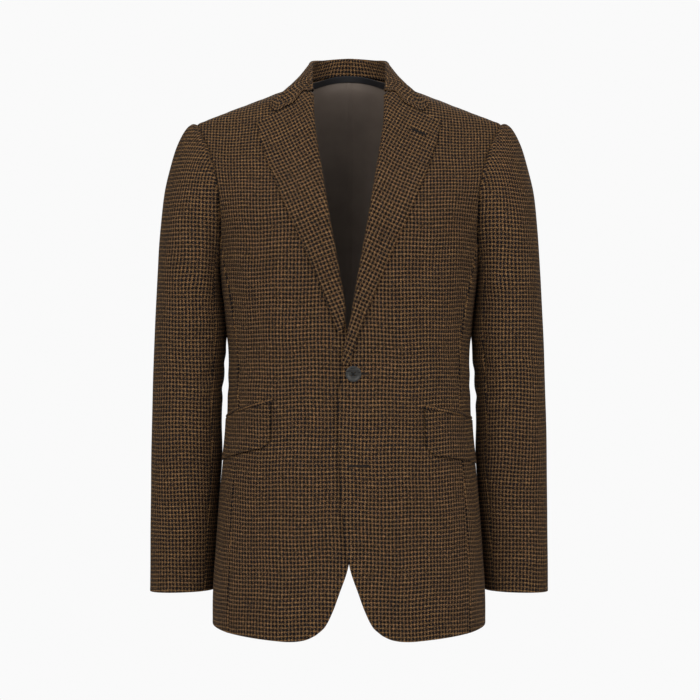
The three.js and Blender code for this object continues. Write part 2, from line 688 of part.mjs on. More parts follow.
function idealRing(ring, share) {
  const angle = 2 * Math.PI * share;
  const curve = (value) => Math.sign(value) * Math.abs(value) ** (2 / SLEEVE_POWER);
  const out = curve(Math.cos(angle));
  const forward = curve(Math.sin(angle));
  const x = lerp(ringValue(ring, "inX"), ringValue(ring, "outX"), (1 + out) / 2);
  const z = lerp(ringValue(ring, "inZ"), ringValue(ring, "outZ"), (1 + out) / 2);
  return [x, ringValue(ring, "midY") - ringValue(ring, "deep") * forward, z];
}

function sleevePoint(ring, column) {
  const share = ROUND[column];
  const start = idealRing(0, share);
  const arm = add(bodyPoint(...armholeChart(column)), [SLEEVE_CLEAR, 0, 0]);
  const ideal = idealRing(ring, share);
  const stay = 1 - clamp01(ringValue(ring, "own"));
  return add(ideal, minus(arm, start), stay);
}

// Soft trough of one fold at a point of the sleeve.
function foldDepth(point, share) {
  return SLEEVE_FOLDS.reduce((sum, fold) => {
    const along = (point[2] - fold.z - fold.slope * (share - fold.share)) / fold.tall;
    const around = (share - fold.share) / fold.wide;
    return sum + fold.depth * Math.exp(-along * along - around * around);
  }, 0);
}

function sleevePanel(first, last) {
  const columns = [];
  for (let column = first; column <= last; column += 1) {
    columns.push((column + ROUND.length - 1) % (ROUND.length - 1));
  }
  const count = ROUND.length - 1;
  const gridPoint = (ring, column) => sleevePoint(ring, ((column % count) + count) % count);
  return SLEEVE.map((_, ring) => columns.map((column, place) => {
    const here = gridPoint(ring, column);
    const aside = minus(gridPoint(ring, column + 1), gridPoint(ring, column - 1));
    const lower = gridPoint(Math.min(ring + 1, SLEEVE.length - 1), column);
    const down = minus(lower, gridPoint(Math.max(ring - 1, 0), column));
    const normal = unit(cross(unit(aside), unit(down)));
    const middle = (idealRing(ring, QUARTER.front)[1] + idealRing(ring, QUARTER.back)[1]) / 2;
    const half = (inner, outer) => (ringValue(ring, inner) + ringValue(ring, outer)) / 2;
    const centre = [half("inX", "outX"), middle, half("inZ", "outZ")];
    const out = dot(normal, minus(here, centre)) > 0 ? normal : normal.map((value) => -value);
    const share = ROUND[column];
    const fade = smooth(ring / FOLD_RINGS);
    const sunk = add(here, out, -foldDepth(here, share) * fade);
    const edge = place === 0 ? 1 : place === columns.length - 1 ? -1 : 0;
    const outer = add(sunk, unit(aside), SLEEVE_SEAM * edge);
    return { outer, inner: add(outer, out, -SLEEVE_CLOTH) };
  }));
}

// Turned cloth: lapels.

function turnScale(z) {
  return lerp(1, TURN.least, smooth((TURN.lower - z) / TURN.over));
}

function lapelChart(under) {
  const bottomZ = under ? UNDER_LAPEL.end : LAPEL_EDGE[0].z;
  const rollX = (z) => readTable(FRONT_EDGE, "z", "x", z) + readTable(FRONT_EDGE, "z", "roll", z)
    + (under ? readTable(UNDER_LAPEL.apart, "z", "shift", Math.min(z, UNDER_LAPEL.apart[0].z)) : 0);
  const edgeX = (z) => readTable(LAPEL_EDGE, "z", "x", z);
  const across = LAPEL_COLUMNS;
  const ups = evenly(LAPEL_ROWS);
  const rollZ = (up) => lerp(bottomZ, GORGE[0].z, up);
  const edgeZ = (up) => lerp(bottomZ, GORGE[4].z, up);
  const edges = {
    inner: (row) => [rollX(rollZ(ups[row])), rollZ(ups[row])],
    outer: (row) => [edgeX(edgeZ(ups[row])), edgeZ(ups[row])],
    bottom: (column) => [lerp(rollX(bottomZ), edgeX(bottomZ), across[column]), bottomZ],
    top: (column) => [gorgeAt(across[column], "x"), gorgeAt(across[column], "z")],
  };
  edges.inner = fixTop(edges.inner, LAPEL_ROWS, [GORGE[0].x, GORGE[0].z]);
  return patch(edges, across, ups);
}

// The seam with the collar keeps its corner, so it runs straight between its rows.
function gorgeAt(share, column) {
  let row = 0;
  while (row < GORGE.length - 2 && GORGE[row + 1].share < share) {
    row += 1;
  }
  const low = GORGE[row];
  const high = GORGE[row + 1];
  return lerp(low[column], high[column], (share - low.share) / (high.share - low.share));
}

const fixTop = (edge, top, point) => (row) => (row === top ? point : edge(row));

function panelSkin(x, z) {
  return bodyPoint(frontTheta(x, z), z);
}

function panelNormal(x, z) {
  const step = 0.4;
  const aside = minus(panelSkin(x + step, z), panelSkin(x - step, z));
  const up = minus(panelSkin(x, z + step), panelSkin(x, z - step));
  return unit(cross(aside, up));
}

function lapelSkins(under) {
  const skins = lapelChart(under).map((row) => {
    const scale = turnScale(row[0][1]);
    const start = panelSkin(...row[0]);
    const normal = panelNormal(...row[0]);
    const near = panelSkin(...row[1]);
    const raw = minus(near, start);
    const aside = unit(add(raw, normal, -dot(raw, normal)));
    const radius = (TURN.fold * scale + CLOTH) / 2;
    const heart = TURN.fold * scale - radius;
    const onTurn = (turn, size) => {
      const away = -TURN.gap - size * Math.cos(radians(turn));
      const high = heart + size * Math.sin(radians(turn));
      return add(add(start, aside, away), normal, high);
    };
    const lift = under ? smooth((UNDER_LAPEL.liftFrom - row[0][1]) / UNDER_LAPEL.liftOver) : 0;
    const turned = FOLD_TURNS.map((turn) => {
      const share = (turn - FOLD_TURNS[0]) / (90 - FOLD_TURNS[0]);
      const angle = lerp(lerp(FOLD_TURNS[0], UNDER_LAPEL.turn, lift), 90, share);
      return { outer: onTurn(angle, radius), inner: onTurn(angle, radius - CLOTH) };
    });
    const flat = row.map((at) => {
      const point = panelSkin(...at);
      const far = Math.hypot(...minus(point, start));
      const rise = TURN.edge + (TURN.fold * scale - TURN.edge) * Math.exp(-((far / TURN.reach) ** 2));
      const out = panelNormal(...at);
      return { outer: add(point, out, rise), inner: add(point, out, rise - CLOTH) };
    });
    return [...turned, ...flat];
  });
  return under ? sinkSkins(skins) : skins;
}

// A wall of even thickness behind a grid of points, by the grid's own normals.
function thicken(grid, thick) {
  const rows = grid.length - 1;
  const columns = grid[0].length - 1;
  return grid.map((row, r) => row.map((point, c) => {
    const aside = minus(grid[r][Math.min(c + 1, columns)], grid[r][Math.max(c - 1, 0)]);
    const up = minus(grid[Math.min(r + 1, rows)][c], grid[Math.max(r - 1, 0)][c]);
    const normal = unit(cross(aside, up));
    return { outer: point, inner: add(point, normal, -thick) };
  }));
}

// Collar.

function collarGuide(way) {
  const at = Math.abs(way);
  const read = (column) => readTable(COLLAR, "way", column, at);
  const side = way < 0 ? -1 : 1;
  const point = (part) => [side * read(`${part}X`), read(`${part}Y`), read(`${part}Z`)];
  const lean = radians(read("lean"));
  const up = [0, -Math.sin(lean), Math.cos(lean)];
  return { foot: point("foot"), fold: point("fold"), edge: point("edge"), up };
}

function endPath(share, side) {
  let row = 0;
  while (row < COLLAR_END.path.length - 2 && COLLAR_END.path[row + 1].share < share) {
    row += 1;
  }
  const low = COLLAR_END.path[row];
  const high = COLLAR_END.path[row + 1];
  const part = (share - low.share) / (high.share - low.share);
  const read = (column) => lerp(low[column], high[column], part);
  const point = add(panelSkin(read("x"), read("z")), panelNormal(read("x"), read("z")), read("high"));
  return [side * point[0], point[1], point[2]];
}

function collarSection(way) {
  const { foot, fold, edge, up } = collarGuide(way);
  const side = way < 0 ? -1 : 1;
  const raw = minus(edge, fold);
  const out = unit(add(raw, up, -dot(raw, up)));
  const turn = COLLAR_FOLD;
  const inside = add(add(fold, out, -turn), up, -turn);
  const bend = (angle) => add(add(fold, out, turn * Math.sin(angle)), up, turn * (Math.cos(angle) - 1));
  const outside = bend(Math.PI / 2);
  const stand = STAND_SHARES.map((share) => mixPoint(foot, inside, share));
  const roll = ROLL_ANGLES.map((angle) => bend(radians(angle)));
  const end = smooth((Math.abs(way) - COLLAR_END.from) / (1 - COLLAR_END.from));
  const leaf = LEAF_SHARES.map((share) => {
    const bow = COLLAR_BOW * Math.sin(Math.PI * share) * (1 - end);
    const bowed = add(add(mixPoint(outside, edge, share), out, bow), up, bow * BOW_LIFT);
    return mixPoint(bowed, endPath(share, side), end);
  });
  return [...stand, ...roll, ...leaf];
}

function collarSkins() {
  const ways = [];
  for (let station = -COLLAR_STATIONS; station <= COLLAR_STATIONS; station += 1) {
    const share = Math.abs(station) / COLLAR_STATIONS;
    ways.push(Math.sign(station) * (share + STATION_EASE * Math.sin(Math.PI * share)));
  }
  const grid = ways.map((way) => collarSection(way));
  return thicken(grid, -CLOTH);
}

// Pockets.

function flapSkins(side) {
  const spec = POCKET[side];
  const across = evenly(POCKET_COLUMNS);
  const chart = evenly(FLAP.rows).map((up) => across.map((share) => {
    const theta = lerp(spec.from, spec.to, share);
    const topZ = lerp(spec.topFrom, spec.topTo, share);
    const z = topZ - spec.depth * (1 - up);
    const aside = Math.max(0, 1 - (share * POCKET_COLUMNS) / FLAP.cornerColumns) ** 2;
    const near = Math.max(0, 1 - up * FLAP.cornerRows);
    return [theta, z + spec.corner * aside * near];
  }));
  return liftBody(chart, FLAP.high, FLAP.low, side);
}

function jetSkins(side) {
  const spec = POCKET[side];
  const across = evenly(POCKET_COLUMNS);
  const chart = evenly(1).map((up) => across.map((share) => {
    const theta = lerp(spec.from - JET.beyond, spec.to + JET.beyond / 2, share);
    const topZ = lerp(spec.topFrom, spec.topTo, share);
    return [theta, topZ + JET.gap + JET.tall * up];
  }));
  return liftBody(chart, JET.high, JET.low, side);
}

function liftBody(chart, high, low, side) {
  const skins = bodySkins(chart, high, low);
  return side === "right" ? sinkSkins(skins) : skins;
}

// Lining and strip, inside the back.

// Half of the back's chart, moved inside its wall; the middle column lies on the centre line.
function insideBack(high, low, rows, columns) {
  const half = bodySkins(backChart(), high, low).slice(...rows).map((row) => row.slice(...columns));
  const flip = ([x, y, z]) => [-x, y, z];
  const centre = ([, y, z]) => [0, y, z];
  const both = (change) => ({ outer, inner }) => ({ outer: change(outer), inner: change(inner) });
  return half.map((row) => {
    const right = row.slice(1).reverse().map(both(flip));
    return [...right, both(centre)(row[0]), ...row.slice(1)];
  });
}

function liningSkins() {
  const { inside, firstRow, columns } = LINING_AREA;
  return insideBack(-inside, -inside - LINING, [firstRow], [0, columns]);
}

function stripSkins() {
  const { clear, thick, columns, low, high } = STRIP;
  const inside = LINING_AREA.inside + LINING + clear;
  const [under, top] = insideBack(0, -1, [-2], [0, columns]);
  const deeper = (share, column, depth) => {
    const inward = minus(under[column].inner, under[column].outer);
    return add(mixPoint(under[column].outer, top[column].outer, share), inward, depth);
  };
  return [low, high].map((share) => under.map((_, column) => ({
    outer: deeper(share, column, inside),
    inner: deeper(share, column, inside + thick),
  })));
}

// Buttons.

function buttonSolid(radius, thick) {
  const { well, wellDeep, hole, apart, edge, corners: round, holeCorners: small } = BUTTON;
  const foot = Manifold.cylinder(edge, radius - edge, radius, round);
  const band = Manifold.cylinder(thick - 2 * edge, radius, radius, round).translate([0, 0, edge]);
  const rim = Manifold.cylinder(edge, radius, radius - edge, round).translate([0, 0, thick - edge]);
  const dish = Manifold.cylinder(wellDeep + 1, well - wellDeep, well + 1, round);
  const cut = dish.translate([0, 0, thick - wellDeep]);
  let body = foot.add(band).add(rim).subtract(cut);
  [[1, 1], [1, -1], [-1, 1], [-1, -1]].forEach(([across, up]) => {
    const drill = Manifold.cylinder(thick + 2, hole, hole, small).translate([across * apart, up * apart, -1]);
    body = body.subtract(drill);
  });
  return body;
}

function buttonGeometry(body, at, normal) {
  const mesh = body.getMesh();
  const positions = [];
  const aside = unit(cross([0, 0, 1], normal));
  const up = cross(normal, aside);
  for (let vertex = 0; vertex < mesh.numVert; vertex += 1) {
    const [a, b, c] = mesh.vertProperties.slice(vertex * mesh.numProp, vertex * mesh.numProp + 3);
    positions.push(...add(add(add(at, aside, a), up, b), normal, c));
  }
  const faces = [];
  for (let face = 0; face < mesh.numTri; face += 1) {
    faces.push([...mesh.triVerts.slice(face * 3, face * 3 + 3)]);
  }
  return closedGeometry(positions, faces);
}

function upperButton() {
  const normal = panelNormal(UPPER_BUTTON.x, UPPER_BUTTON.z);
  const at = add(panelSkin(UPPER_BUTTON.x, UPPER_BUTTON.z), normal, BUTTON.stand);
  return buttonGeometry(buttonSolid(BUTTON.radius, BUTTON.thick), at, normal);
}

function lowerButton() {
  const normal = panelNormal(LOWER_BUTTON.x, LOWER_BUTTON.z);
  const skin = panelSkin(LOWER_BUTTON.x, LOWER_BUTTON.z);
  const seat = [skin[0], skin[1] + LAP.drop, skin[2]];
  const { radius, thick, stand } = LOWER_BUTTON;
  return buttonGeometry(buttonSolid(radius, thick), add(seat, normal, stand), normal);
}

function build() {
  const jacket = new THREE.Group();
  jacket.name = "sports_jacket";
  const cloth = (name, skins, mirrored = false) => {
    jacket.add(named(name, wall(skins, mirrored), COLOURS.cloth));
  };
  const pair = (name, skins) => {
    cloth(`${name}_left`, skins);
    cloth(`${name}_right`, skins, true);
  };
  cloth("front_left", frontPanel(false));
  cloth("front_right", frontPanel(true), true);
  pair("side", sidePanel());
  pair("back", bodySkins(backChart(), 0, -CLOTH));
  const around = ROUND.length - 1;
  pair("sleeve_top", sleevePanel(SEAM_COLUMN.sleeveBack - around, SEAM_COLUMN.sleeveFront));
  pair("sleeve_under", sleevePanel(SEAM_COLUMN.sleeveFront, SEAM_COLUMN.sleeveBack));
  cloth("lapel_left", lapelSkins(false));
  cloth("lapel_right", lapelSkins(true), true);
  cloth("collar", collarSkins());
  cloth("flap_left", flapSkins("left"));
  cloth("flap_right", flapSkins("right"), true);
  cloth("jet_left", jetSkins("left"));
  cloth("jet_right", jetSkins("right"), true);
  jacket.add(named("button_upper", upperButton(), COLOURS.button));
  jacket.add(named("button_lower", lowerButton(), COLOURS.button));
  jacket.add(named("back_lining", wall(liningSkins()), COLOURS.lining));
  jacket.add(named("neck_strip", wall(stripSkins()), COLOURS.strip));
  return jacket;
}

export default build();
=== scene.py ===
"""A sports jacket in small-check tweed, filled out with no wearer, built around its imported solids."""

import math

import bpy
import numpy as np
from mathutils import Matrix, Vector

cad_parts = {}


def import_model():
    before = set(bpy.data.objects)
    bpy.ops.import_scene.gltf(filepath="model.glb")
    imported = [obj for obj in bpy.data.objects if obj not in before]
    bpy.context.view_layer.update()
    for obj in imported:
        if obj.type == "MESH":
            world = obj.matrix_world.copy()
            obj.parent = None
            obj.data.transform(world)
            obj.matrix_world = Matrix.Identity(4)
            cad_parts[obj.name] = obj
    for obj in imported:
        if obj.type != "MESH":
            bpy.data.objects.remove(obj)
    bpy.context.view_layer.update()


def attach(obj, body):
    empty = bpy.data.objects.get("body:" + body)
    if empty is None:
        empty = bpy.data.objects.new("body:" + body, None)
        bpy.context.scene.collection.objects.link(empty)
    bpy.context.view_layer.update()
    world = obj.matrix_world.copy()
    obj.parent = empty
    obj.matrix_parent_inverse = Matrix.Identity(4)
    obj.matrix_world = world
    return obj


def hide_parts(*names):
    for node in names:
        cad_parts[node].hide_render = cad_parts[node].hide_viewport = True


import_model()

# Millimetres and degrees, as in the part's source. +Z up, the front faces -Y, the wearer's left is +X.
MM = 0.001
CLOTH = 2.0
SLEEVE_CLOTH = 1.8
SHELL = 1.5
LINING = 1.0
SEAM_HALF = 0.22
SLEEVE_SEAM = 0.32
SIDE_Y = 5.0
RIDGE_TOP = 30.5
RIDGE_FALL = 0.3815
NECK_HALF = 72.0
SHOULDER_TIP = 214.0

CHEST = dict(depth=136, reach=235, power=2.3, drop=240, round=1.5, ease=0.625)
BLADES = dict(depth=118, reach=235, power=2.6, drop=200, round=2, ease=0.6, neck_ease=-0.18)
NECK_BACK = dict(depth=68, rise=19, round=0.6, fade=8)
BLEND = dict(top=-110, bottom=-215)
SECTION_POWER = 2.4


def table(names, *rows):
    """Rows of numbers with named columns."""
    return [dict(zip(names.split(), row)) for row in rows]


BODY = table(
    "z half front back",
    (-790, 191.4, 143, 126),
    (-714, 191.2, 142, 125),
    (-650, 187.4, 141, 123),
    (-580, 182.4, 140, 120),
    (-530, 177.6, 139, 115),
    (-500, 173.8, 138.5, 112),
    (-470, 171.4, 138, 109),
    (-440, 170.6, 137, 106),
    (-415, 169.8, 136.5, 106),
    (-395, 168.9, 136, 106),
    (-375, 168.9, 136, 108),
    (-341, 171.0, 137, 113),
    (-300, 176.0, 139, 119),
    (-250, 182.0, 141, 124),
    (-215, 184.5, 140, 125),
    (-150, 191.0, 138, 122),
    (-100, 206.0, 134, 118),
    (-50, 232.0, 130, 114),
    (0, 240.0, 130, 114),
    (40, 240.0, 130, 114),
)
FRONT_EDGE = table(
    "x z roll",
    (45.0, -756.2, 0),
    (30.0, -741.8, 0),
    (20.6, -721.0, 0),
    (13.2, -700.7, 0),
    (6.2, -680.4, 0),
    (-0.4, -660.2, 0),
    (-4.2, -633.2, 0),
    (-7.0, -603.5, 0),
    (-11.6, -545.4, 0),
    (-13.8, -481.8, 0),
    (-14.2, -437.2, 0),
    (-12.4, -411.0, 0.5),
    (-9.9, -395.0, 2.0),
    (-5.4, -364.1, 2.8),
    (1.9, -331.6, 3.4),
    (9.9, -281.7, 3.8),
    (18.0, -234.4, 4),
    (27.7, -180.1, 4),
    (35.4, -131.4, 4),
    (43.2, -81.7, 4),
    (46.8, -58.5, 3.8),
    (48.8, -37.9, 3),
    (50.2, -14.0, 1.5),
)
NECK_EDGE = table("x z", (57.6, -5.6), (64.5, 0.0), (72.0, 3.03))
FRONT_HEM = table(
    "x z",
    (45.0, -756.2),
    (59.5, -762.8),
    (79.2, -765.4),
    (98.3, -764.8),
    (136.4, -761.8),
    (165.0, -758.5),
)
BACK_HEM = table("theta z", (60, -758.5), (75, -754.5), (90, -751), (118, -748), (180, -749))
LAPEL_EDGE = table(
    "x z",
    (-0.6, -390.0),
    (1.4, -384.0),
    (7.4, -365.4),
    (14.2, -345.2),
    (25.7, -315.4),
    (37.8, -283.0),
    (50.7, -253.3),
    (62.2, -224.8),
    (81.3, -183.8),
    (98.9, -141.7),
    (111.9, -108.6),
    (119.2, -86.9),
    (124.6, -64.9),
    (126.6, -53.0),
)
GORGE = table(
    "share x z",
    (0.0, 52.0, -14.5),
    (0.18, 63.0, -12.0),
    (0.4, 76.0, -27.8),
    (0.68, 101.0, -40.4),
    (1.0, 126.6, -53.0),
)
UNDER_LAPEL = dict(end=-345, lift_from=-286, lift_over=20, turn=-12)
UNDER_APART = table("z shift", (-308, 0), (-320, 2), (-331, 5), (-347, 12))
LAP = dict(drop=6.5, near=-10, far=-95, high=-225, low=-300)
TURN = dict(gap=0.95, fold=5.8, edge=2.75, reach=16, lower=-335, over=50, least=0.55)
LAPEL_ROWS = 17
LAPEL_COLUMNS = [0.0, 0.09, 0.18, 0.29, 0.4, 0.54, 0.68, 0.84, 1.0]
FOLD_TURNS = [-90, -35, 20, 70]
ARMHOLE = [
    ("theta", 66.9, -51.1),
    ("x", 211.0, -57.0),
    ("x", 203.5, -71.6),
    ("x", 194.2, -93.8),
    ("x", 184.6, -128.5),
    ("x", 179.7, -162.2),
    ("x", 178.5, -185.0),
    ("theta", 75.0, -215.0),
    ("theta", 80.0, -239.0),
    ("theta", 86.0, -255.0),
    ("theta", 92.0, -258.0),
    ("theta", 99.0, -249.0),
    ("theta", 106.0, -225.0),
    ("theta", 107.5, -190.0),
    ("theta", 102.5, -155.0),
    ("theta", 104.0, -122.0),
    ("theta", 108.5, -92.0),
    ("theta", 111.0, -68.0),
    ("theta", 112.6, -57.0),
    ("theta", 113.1, -51.1),
]
ARMHOLE_SEAM = dict(front=7, back=12)
ROUND = [
    0, 0.014, 0.034, 0.068, 0.104, 0.14, 0.178, 0.216, 0.256, 0.298,
    0.34, 0.38, 0.42, 0.46, 0.5, 0.54, 0.58, 0.62, 0.66, 0.702,
    0.744, 0.784, 0.822, 0.86, 0.896, 0.932, 0.966, 0.986, 1,
]
SEAM_COLUMN = dict(front_side=10, back_side=18, sleeve_front=11, sleeve_back=19)
FRONT_SEAM = table("z theta", (-215, 75), (-300, 68), (-425, 64), (-560, 62), (-758.5, 60))
BACK_SEAM = table("z theta", (-225, 106), (-300, 112), (-425, 117), (-560, 118), (-748, 118))
LOWER_ROWS = 15
EDGE_CROWDING = 1.25
ROW_EASE = 0.06
FRONT_COLUMNS = 13
HEM_FALL = 0.2
SEAM_ANGLE = 0.075
VENT = dict(top=-528, half=31, power=0.85)
BACK_COLUMNS = [SEAM_HALF, 15, 30, 44, 56, 66, NECK_HALF, 92, 116, 140, 165, 190, SHOULDER_TIP]
SLEEVE = table(
    "outX outZ inX inZ midY deep own",
    (215.0, -50.7, 182.2, -258, 3, 60, 0),
    (222.7, -52.6, 182.0, -262, 3, 63, 0.12),
    (231.2, -59.4, 181.6, -266, 3.5, 66, 0.3),
    (242.6, -82.2, 180.7, -274, 4, 69, 0.52),
    (251.2, -111.0, 179.6, -283, 5, 70.5, 0.72),
    (259.7, -148.0, 178.2, -294, 6, 71, 0.88),
    (264.4, -195.0, 176.7, -308, 7, 70.5, 0.97),
    (268.2, -245.0, 174.8, -324, 8, 69.5, 1),
    (271.0, -300.0, 173.0, -345, 9, 67.5, 1),
    (273.8, -355.0, 173.9, -378, 10, 65, 1),
    (276.2, -415.0, 177.6, -422, 13, 62, 1),
    (278.0, -468.0, 179.4, -470, 16, 59, 1),
    (279.2, -518.0, 178.7, -518, 19.5, 56, 1),
    (280.0, -568.0, 182.3, -567, 23, 53, 1),
    (280.6, -618.0, 186.1, -616, 26, 50, 1),
    (281.1, -665.0, 189.1, -663, 29, 47.5, 1),
    (281.5, -710.5, 191.9, -708, 31, 46, 1),
)
SLEEVE_POWER = 2.15
SLEEVE_CLEAR = 0.75
FOLD_RINGS = 3
COLLAR = table(
    "way footX footY footZ foldX foldY foldZ edgeX edgeY edgeZ lean",
    (0, 0, 71, 22.8, 0, 76, 48.6, 0, 87, 6, 0),
    (0.18, 24, 66.2, 20.8, 20, 73, 47.4, 27, 84.5, 4, 0),
    (0.36, 44, 52.6, 15.8, 36.5, 61.5, 44.6, 52, 74.5, -1.5, 0),
    (0.52, 57.5, 35.5, 11.2, 49.3, 44, 42.2, 69, 53, -6, 0),
    (0.66, 65.6, 16, 8, 54, 22, 37.2, 77, 26, -3, 6),
    (0.78, 66.4, 1, 5.4, 54, 2, 27, 81, 3, 2.3, 16),
    (0.88, 61.2, -12.5, 1.2, 54, -14.5, 13, 92.5, -12.5, -7.2, 29),
    (0.95, 55.2, -23, -3.8, 53, -27, 2, 103, -23, -17.6, 38),
    (1, 50.2, -32.3, -10.6, 51.4, -36.8, -6.4, 112.4, -32, -28.6, 44),
)
COLLAR_FOLD = 3.1
COLLAR_BOW = 2.2
COLLAR_END_FROM = 0.86
COLLAR_END = table(
    "share x z high",
    (0.0, 50.2, -12.4, 5.8),
    (0.22, 63.0, -10.6, 4.6),
    (0.45, 76.0, -26.3, 3.5),
    (0.78, 101.0, -38.8, 2.8),
    (1.0, 112.4, -28.6, 2.8),
)
COLLAR_STATIONS = 13
STATION_EASE = 0.08
STAND_SHARES = [0, 0.34, 0.68]
ROLL_ANGLES = [-90, -45, 0, 45]
LEAF_SHARES = [0, 0.11, 0.22, 0.34, 0.45, 0.61, 0.78, 1]
BOW_LIFT = 0.6
POCKET = dict(
    left=dict(start=37.2, end=83, top_start=-451.0, top_end=-467.5, depth=60.5, corner=9),
    right=dict(start=38.4, end=83, top_start=-442.5, top_end=-465.0, depth=58.5, corner=9),
)
POCKET_COLUMNS = 11
FLAP = dict(high=2.6, rows=5, corner_columns=1.2, corner_rows=3)
JET = dict(tall=5, gap=1.0, beyond=0.9, high=2.0)
BUTTON = dict(radius=10.7, thick=3.0, well=7.2, well_deep=0.7, hole=0.95, apart=2.1, stand=0.6, edge=0.7)
UPPER_BUTTON = dict(x=6.0, z=-402.0)
LOWER_BUTTON = dict(x=6.0, z=-526.5, radius=10, thick=2.3, stand=0.75)
LINING_AREA = dict(inside=3.6, first_row=9, columns=6)
STRIP = dict(clear=0.36, thick=0.9, columns=5, low=0.0, high=0.95)
SLEEVE_FOLDS = table(
    "z share tall wide depth slope",
    (-335, 0.27, 22, 0.1, 2.2, 160),
    (-395, 0.3, 18, 0.11, 2.6, 190),
    (-452, 0.24, 24, 0.09, 1.8, 120),
    (-300, 0.74, 24, 0.1, 2.2, -150),
    (-560, 0.2, 30, 0.08, 1.4, 100),
    (-420, 0.72, 24, 0.11, 2.2, -120),
)

# Fine creases, each a soft trough: place, the way it runs, half length, half width, depth.
# Their section: how they bend, and the swell on either side with its place.
CREASE = dict(bend=0.35, near=0.42, near_at=1.6, far=0.3, far_at=1.7, lean=0.35)
FRONT_CREASES = dict(
    left=table(
        "x z way long wide deep",
        (158, -268, 82, 62, 9, 1.5),
        (142, -215, 68, 48, 10, 1.0),
        (118, -352, 24, 46, 9, 0.7),
        (70, -388, 14, 44, 8, 0.7),
        (64, -424, -12, 40, 8, 0.6),
        (150, -402, 12, 34, 10, 0.9),
        (152, -432, -16, 30, 9, 0.7),
        (92, -600, 84, 80, 16, 0.8),
        (40, -640, 96, 64, 12, 0.6),
        (140, -650, 80, 84, 14, 0.9),
        (165, -150, 74, 34, 8, 0.8),
    ),
    right=table(
        "x z way long wide deep",
        (160, -255, 80, 58, 9, 1.6),
        (138, -222, 64, 40, 11, 1.1),
        (104, -366, 20, 52, 9, 0.8),
        (58, -398, 10, 38, 8, 0.7),
        (74, -432, -18, 46, 9, 0.6),
        (152, -396, 16, 36, 9, 0.9),
        (148, -438, -10, 30, 10, 0.7),
        (86, -618, 80, 72, 15, 0.8),
        (130, -640, 88, 92, 14, 0.9),
        (52, -560, 100, 50, 12, 0.5),
        (166, -142, 72, 30, 8, 0.8),
    ),
)
BACK_CREASES = table(
    "x z way long wide deep",
    (128, -150, 62, 46, 11, 1.4),
    (150, -205, 78, 54, 10, 1.2),
    (60, -42, 8, 52, 9, 0.6),
    (48, -398, 6, 56, 11, 1.1),
    (96, -372, -14, 44, 10, 0.8),
    (88, -424, 12, 40, 9, 0.8),
    (70, -560, 86, 90, 18, 1.2),
    (124, -640, 82, 78, 16, 0.9),
    (36, -300, 90, 110, 14, 0.7),
)
SIDE_CREASES = table(
    "theta z way long wide deep",
    (80, -330, 80, 40, 9, 1.0),
    (98, -392, 8, 30, 10, 1.1),
    (88, -420, -10, 34, 9, 0.9),
    (100, -560, 88, 70, 14, 1.0),
    (74, -650, 84, 64, 12, 0.7),
)
SLEEVE_CREASES = dict(
    left=table(
        "share z way long wide deep",
        (0.30, -352, 34, 34, 6, 1.5),
        (0.33, -384, 42, 30, 6, 1.8),
        (0.28, -430, 28, 36, 7, 1.3),
        (0.16, -372, 20, 26, 8, 0.7),
        (0.22, -512, 24, 30, 9, 0.8),
        (0.10, -470, 12, 30, 10, 0.5),
        (0.24, -628, 18, 26, 9, 0.7),
        (0.08, -190, 78, 44, 12, 0.6),
        (0.20, -170, 66, 40, 9, 0.9),
        (0.70, -372, -34, 34, 8, 1.4),
        (0.74, -452, -26, 32, 9, 1.1),
        (0.82, -300, -60, 42, 10, 0.9),
        (0.72, -600, -18, 30, 9, 0.8),
        (0.45, -400, 6, 26, 8, 1.6),
        (0.52, -436, -10, 24, 8, 1.4),
    ),
    right=table(
        "share z way long wide deep",
        (0.29, -340, 38, 36, 7, 1.6),
        (0.32, -398, 40, 32, 6, 1.7),
        (0.26, -444, 24, 32, 8, 1.2),
        (0.14, -392, 16, 28, 8, 0.7),
        (0.20, -528, 22, 34, 9, 0.8),
        (0.11, -486, 14, 26, 10, 0.5),
        (0.22, -646, 14, 28, 9, 0.7),
        (0.07, -204, 80, 40, 12, 0.6),
        (0.19, -182, 70, 36, 9, 0.9),
        (0.71, -388, -32, 30, 8, 1.4),
        (0.76, -440, -24, 34, 9, 1.1),
        (0.80, -316, -56, 38, 10, 0.9),
        (0.74, -586, -16, 32, 9, 0.8),
        (0.46, -388, 8, 28, 8, 1.6),
        (0.50, -424, -12, 24, 8, 1.4),
    ),
)
# Front darts, one on each side, above the pocket.
DART = dict(left=dict(x=134, top=-288, bottom=-446), right=dict(x=121, top=-284, bottom=-438))
DART_SHAPE = dict(deep=0.9, wide=1.5, swell=0.25, swell_wide=5.0, intake=3.0)

GRAIN = dict(front=100.0, back=60.0, sleeve=-215.0)
WAIST_Z = -500.0
LAPEL_TURN = 23.0
CHECK = dict(across=4.95, up=5.7, threads=8, dark=4.1)
SLEEVE_ROUND_MM = 330.0

# Width of the front's and the hems' own cloth turned to the inside, before the lining colour starts.
FACING = 42.0
# Lines pressed into the front beside the turned pieces: how far beyond their edge, depth, half width.
FLAP_LINE = dict(beyond=0.8, deep=1.9, wide=1.5)
LAPEL_LINE = dict(beyond=0.8, deep=1.5, wide=1.4)
COLLAR_LINE = dict(beyond=0.8, deep=1.3, wide=1.4, stations=10)
# Where the side and the sleeve swell toward each other above the waist, and by how much.
CLOSE = dict(low=-364.0, high=-205.0, rise=18, fall=40, side=1.0, sleeve=1.1)
# What a skin keeps at its closed edge: share of the shell, share of the closing, least thickness.
RIM = dict(share=0.6, close=0.4, least=0.25)

# Profile of the button: foot, roll of the rim, its crown, where the well starts, how the well dishes.
PROFILE = dict(foot=1.6, lip=0.12, rim=1.35, crown=0.9, shoulder=2.9, dish=0.55, hollow=0.12)
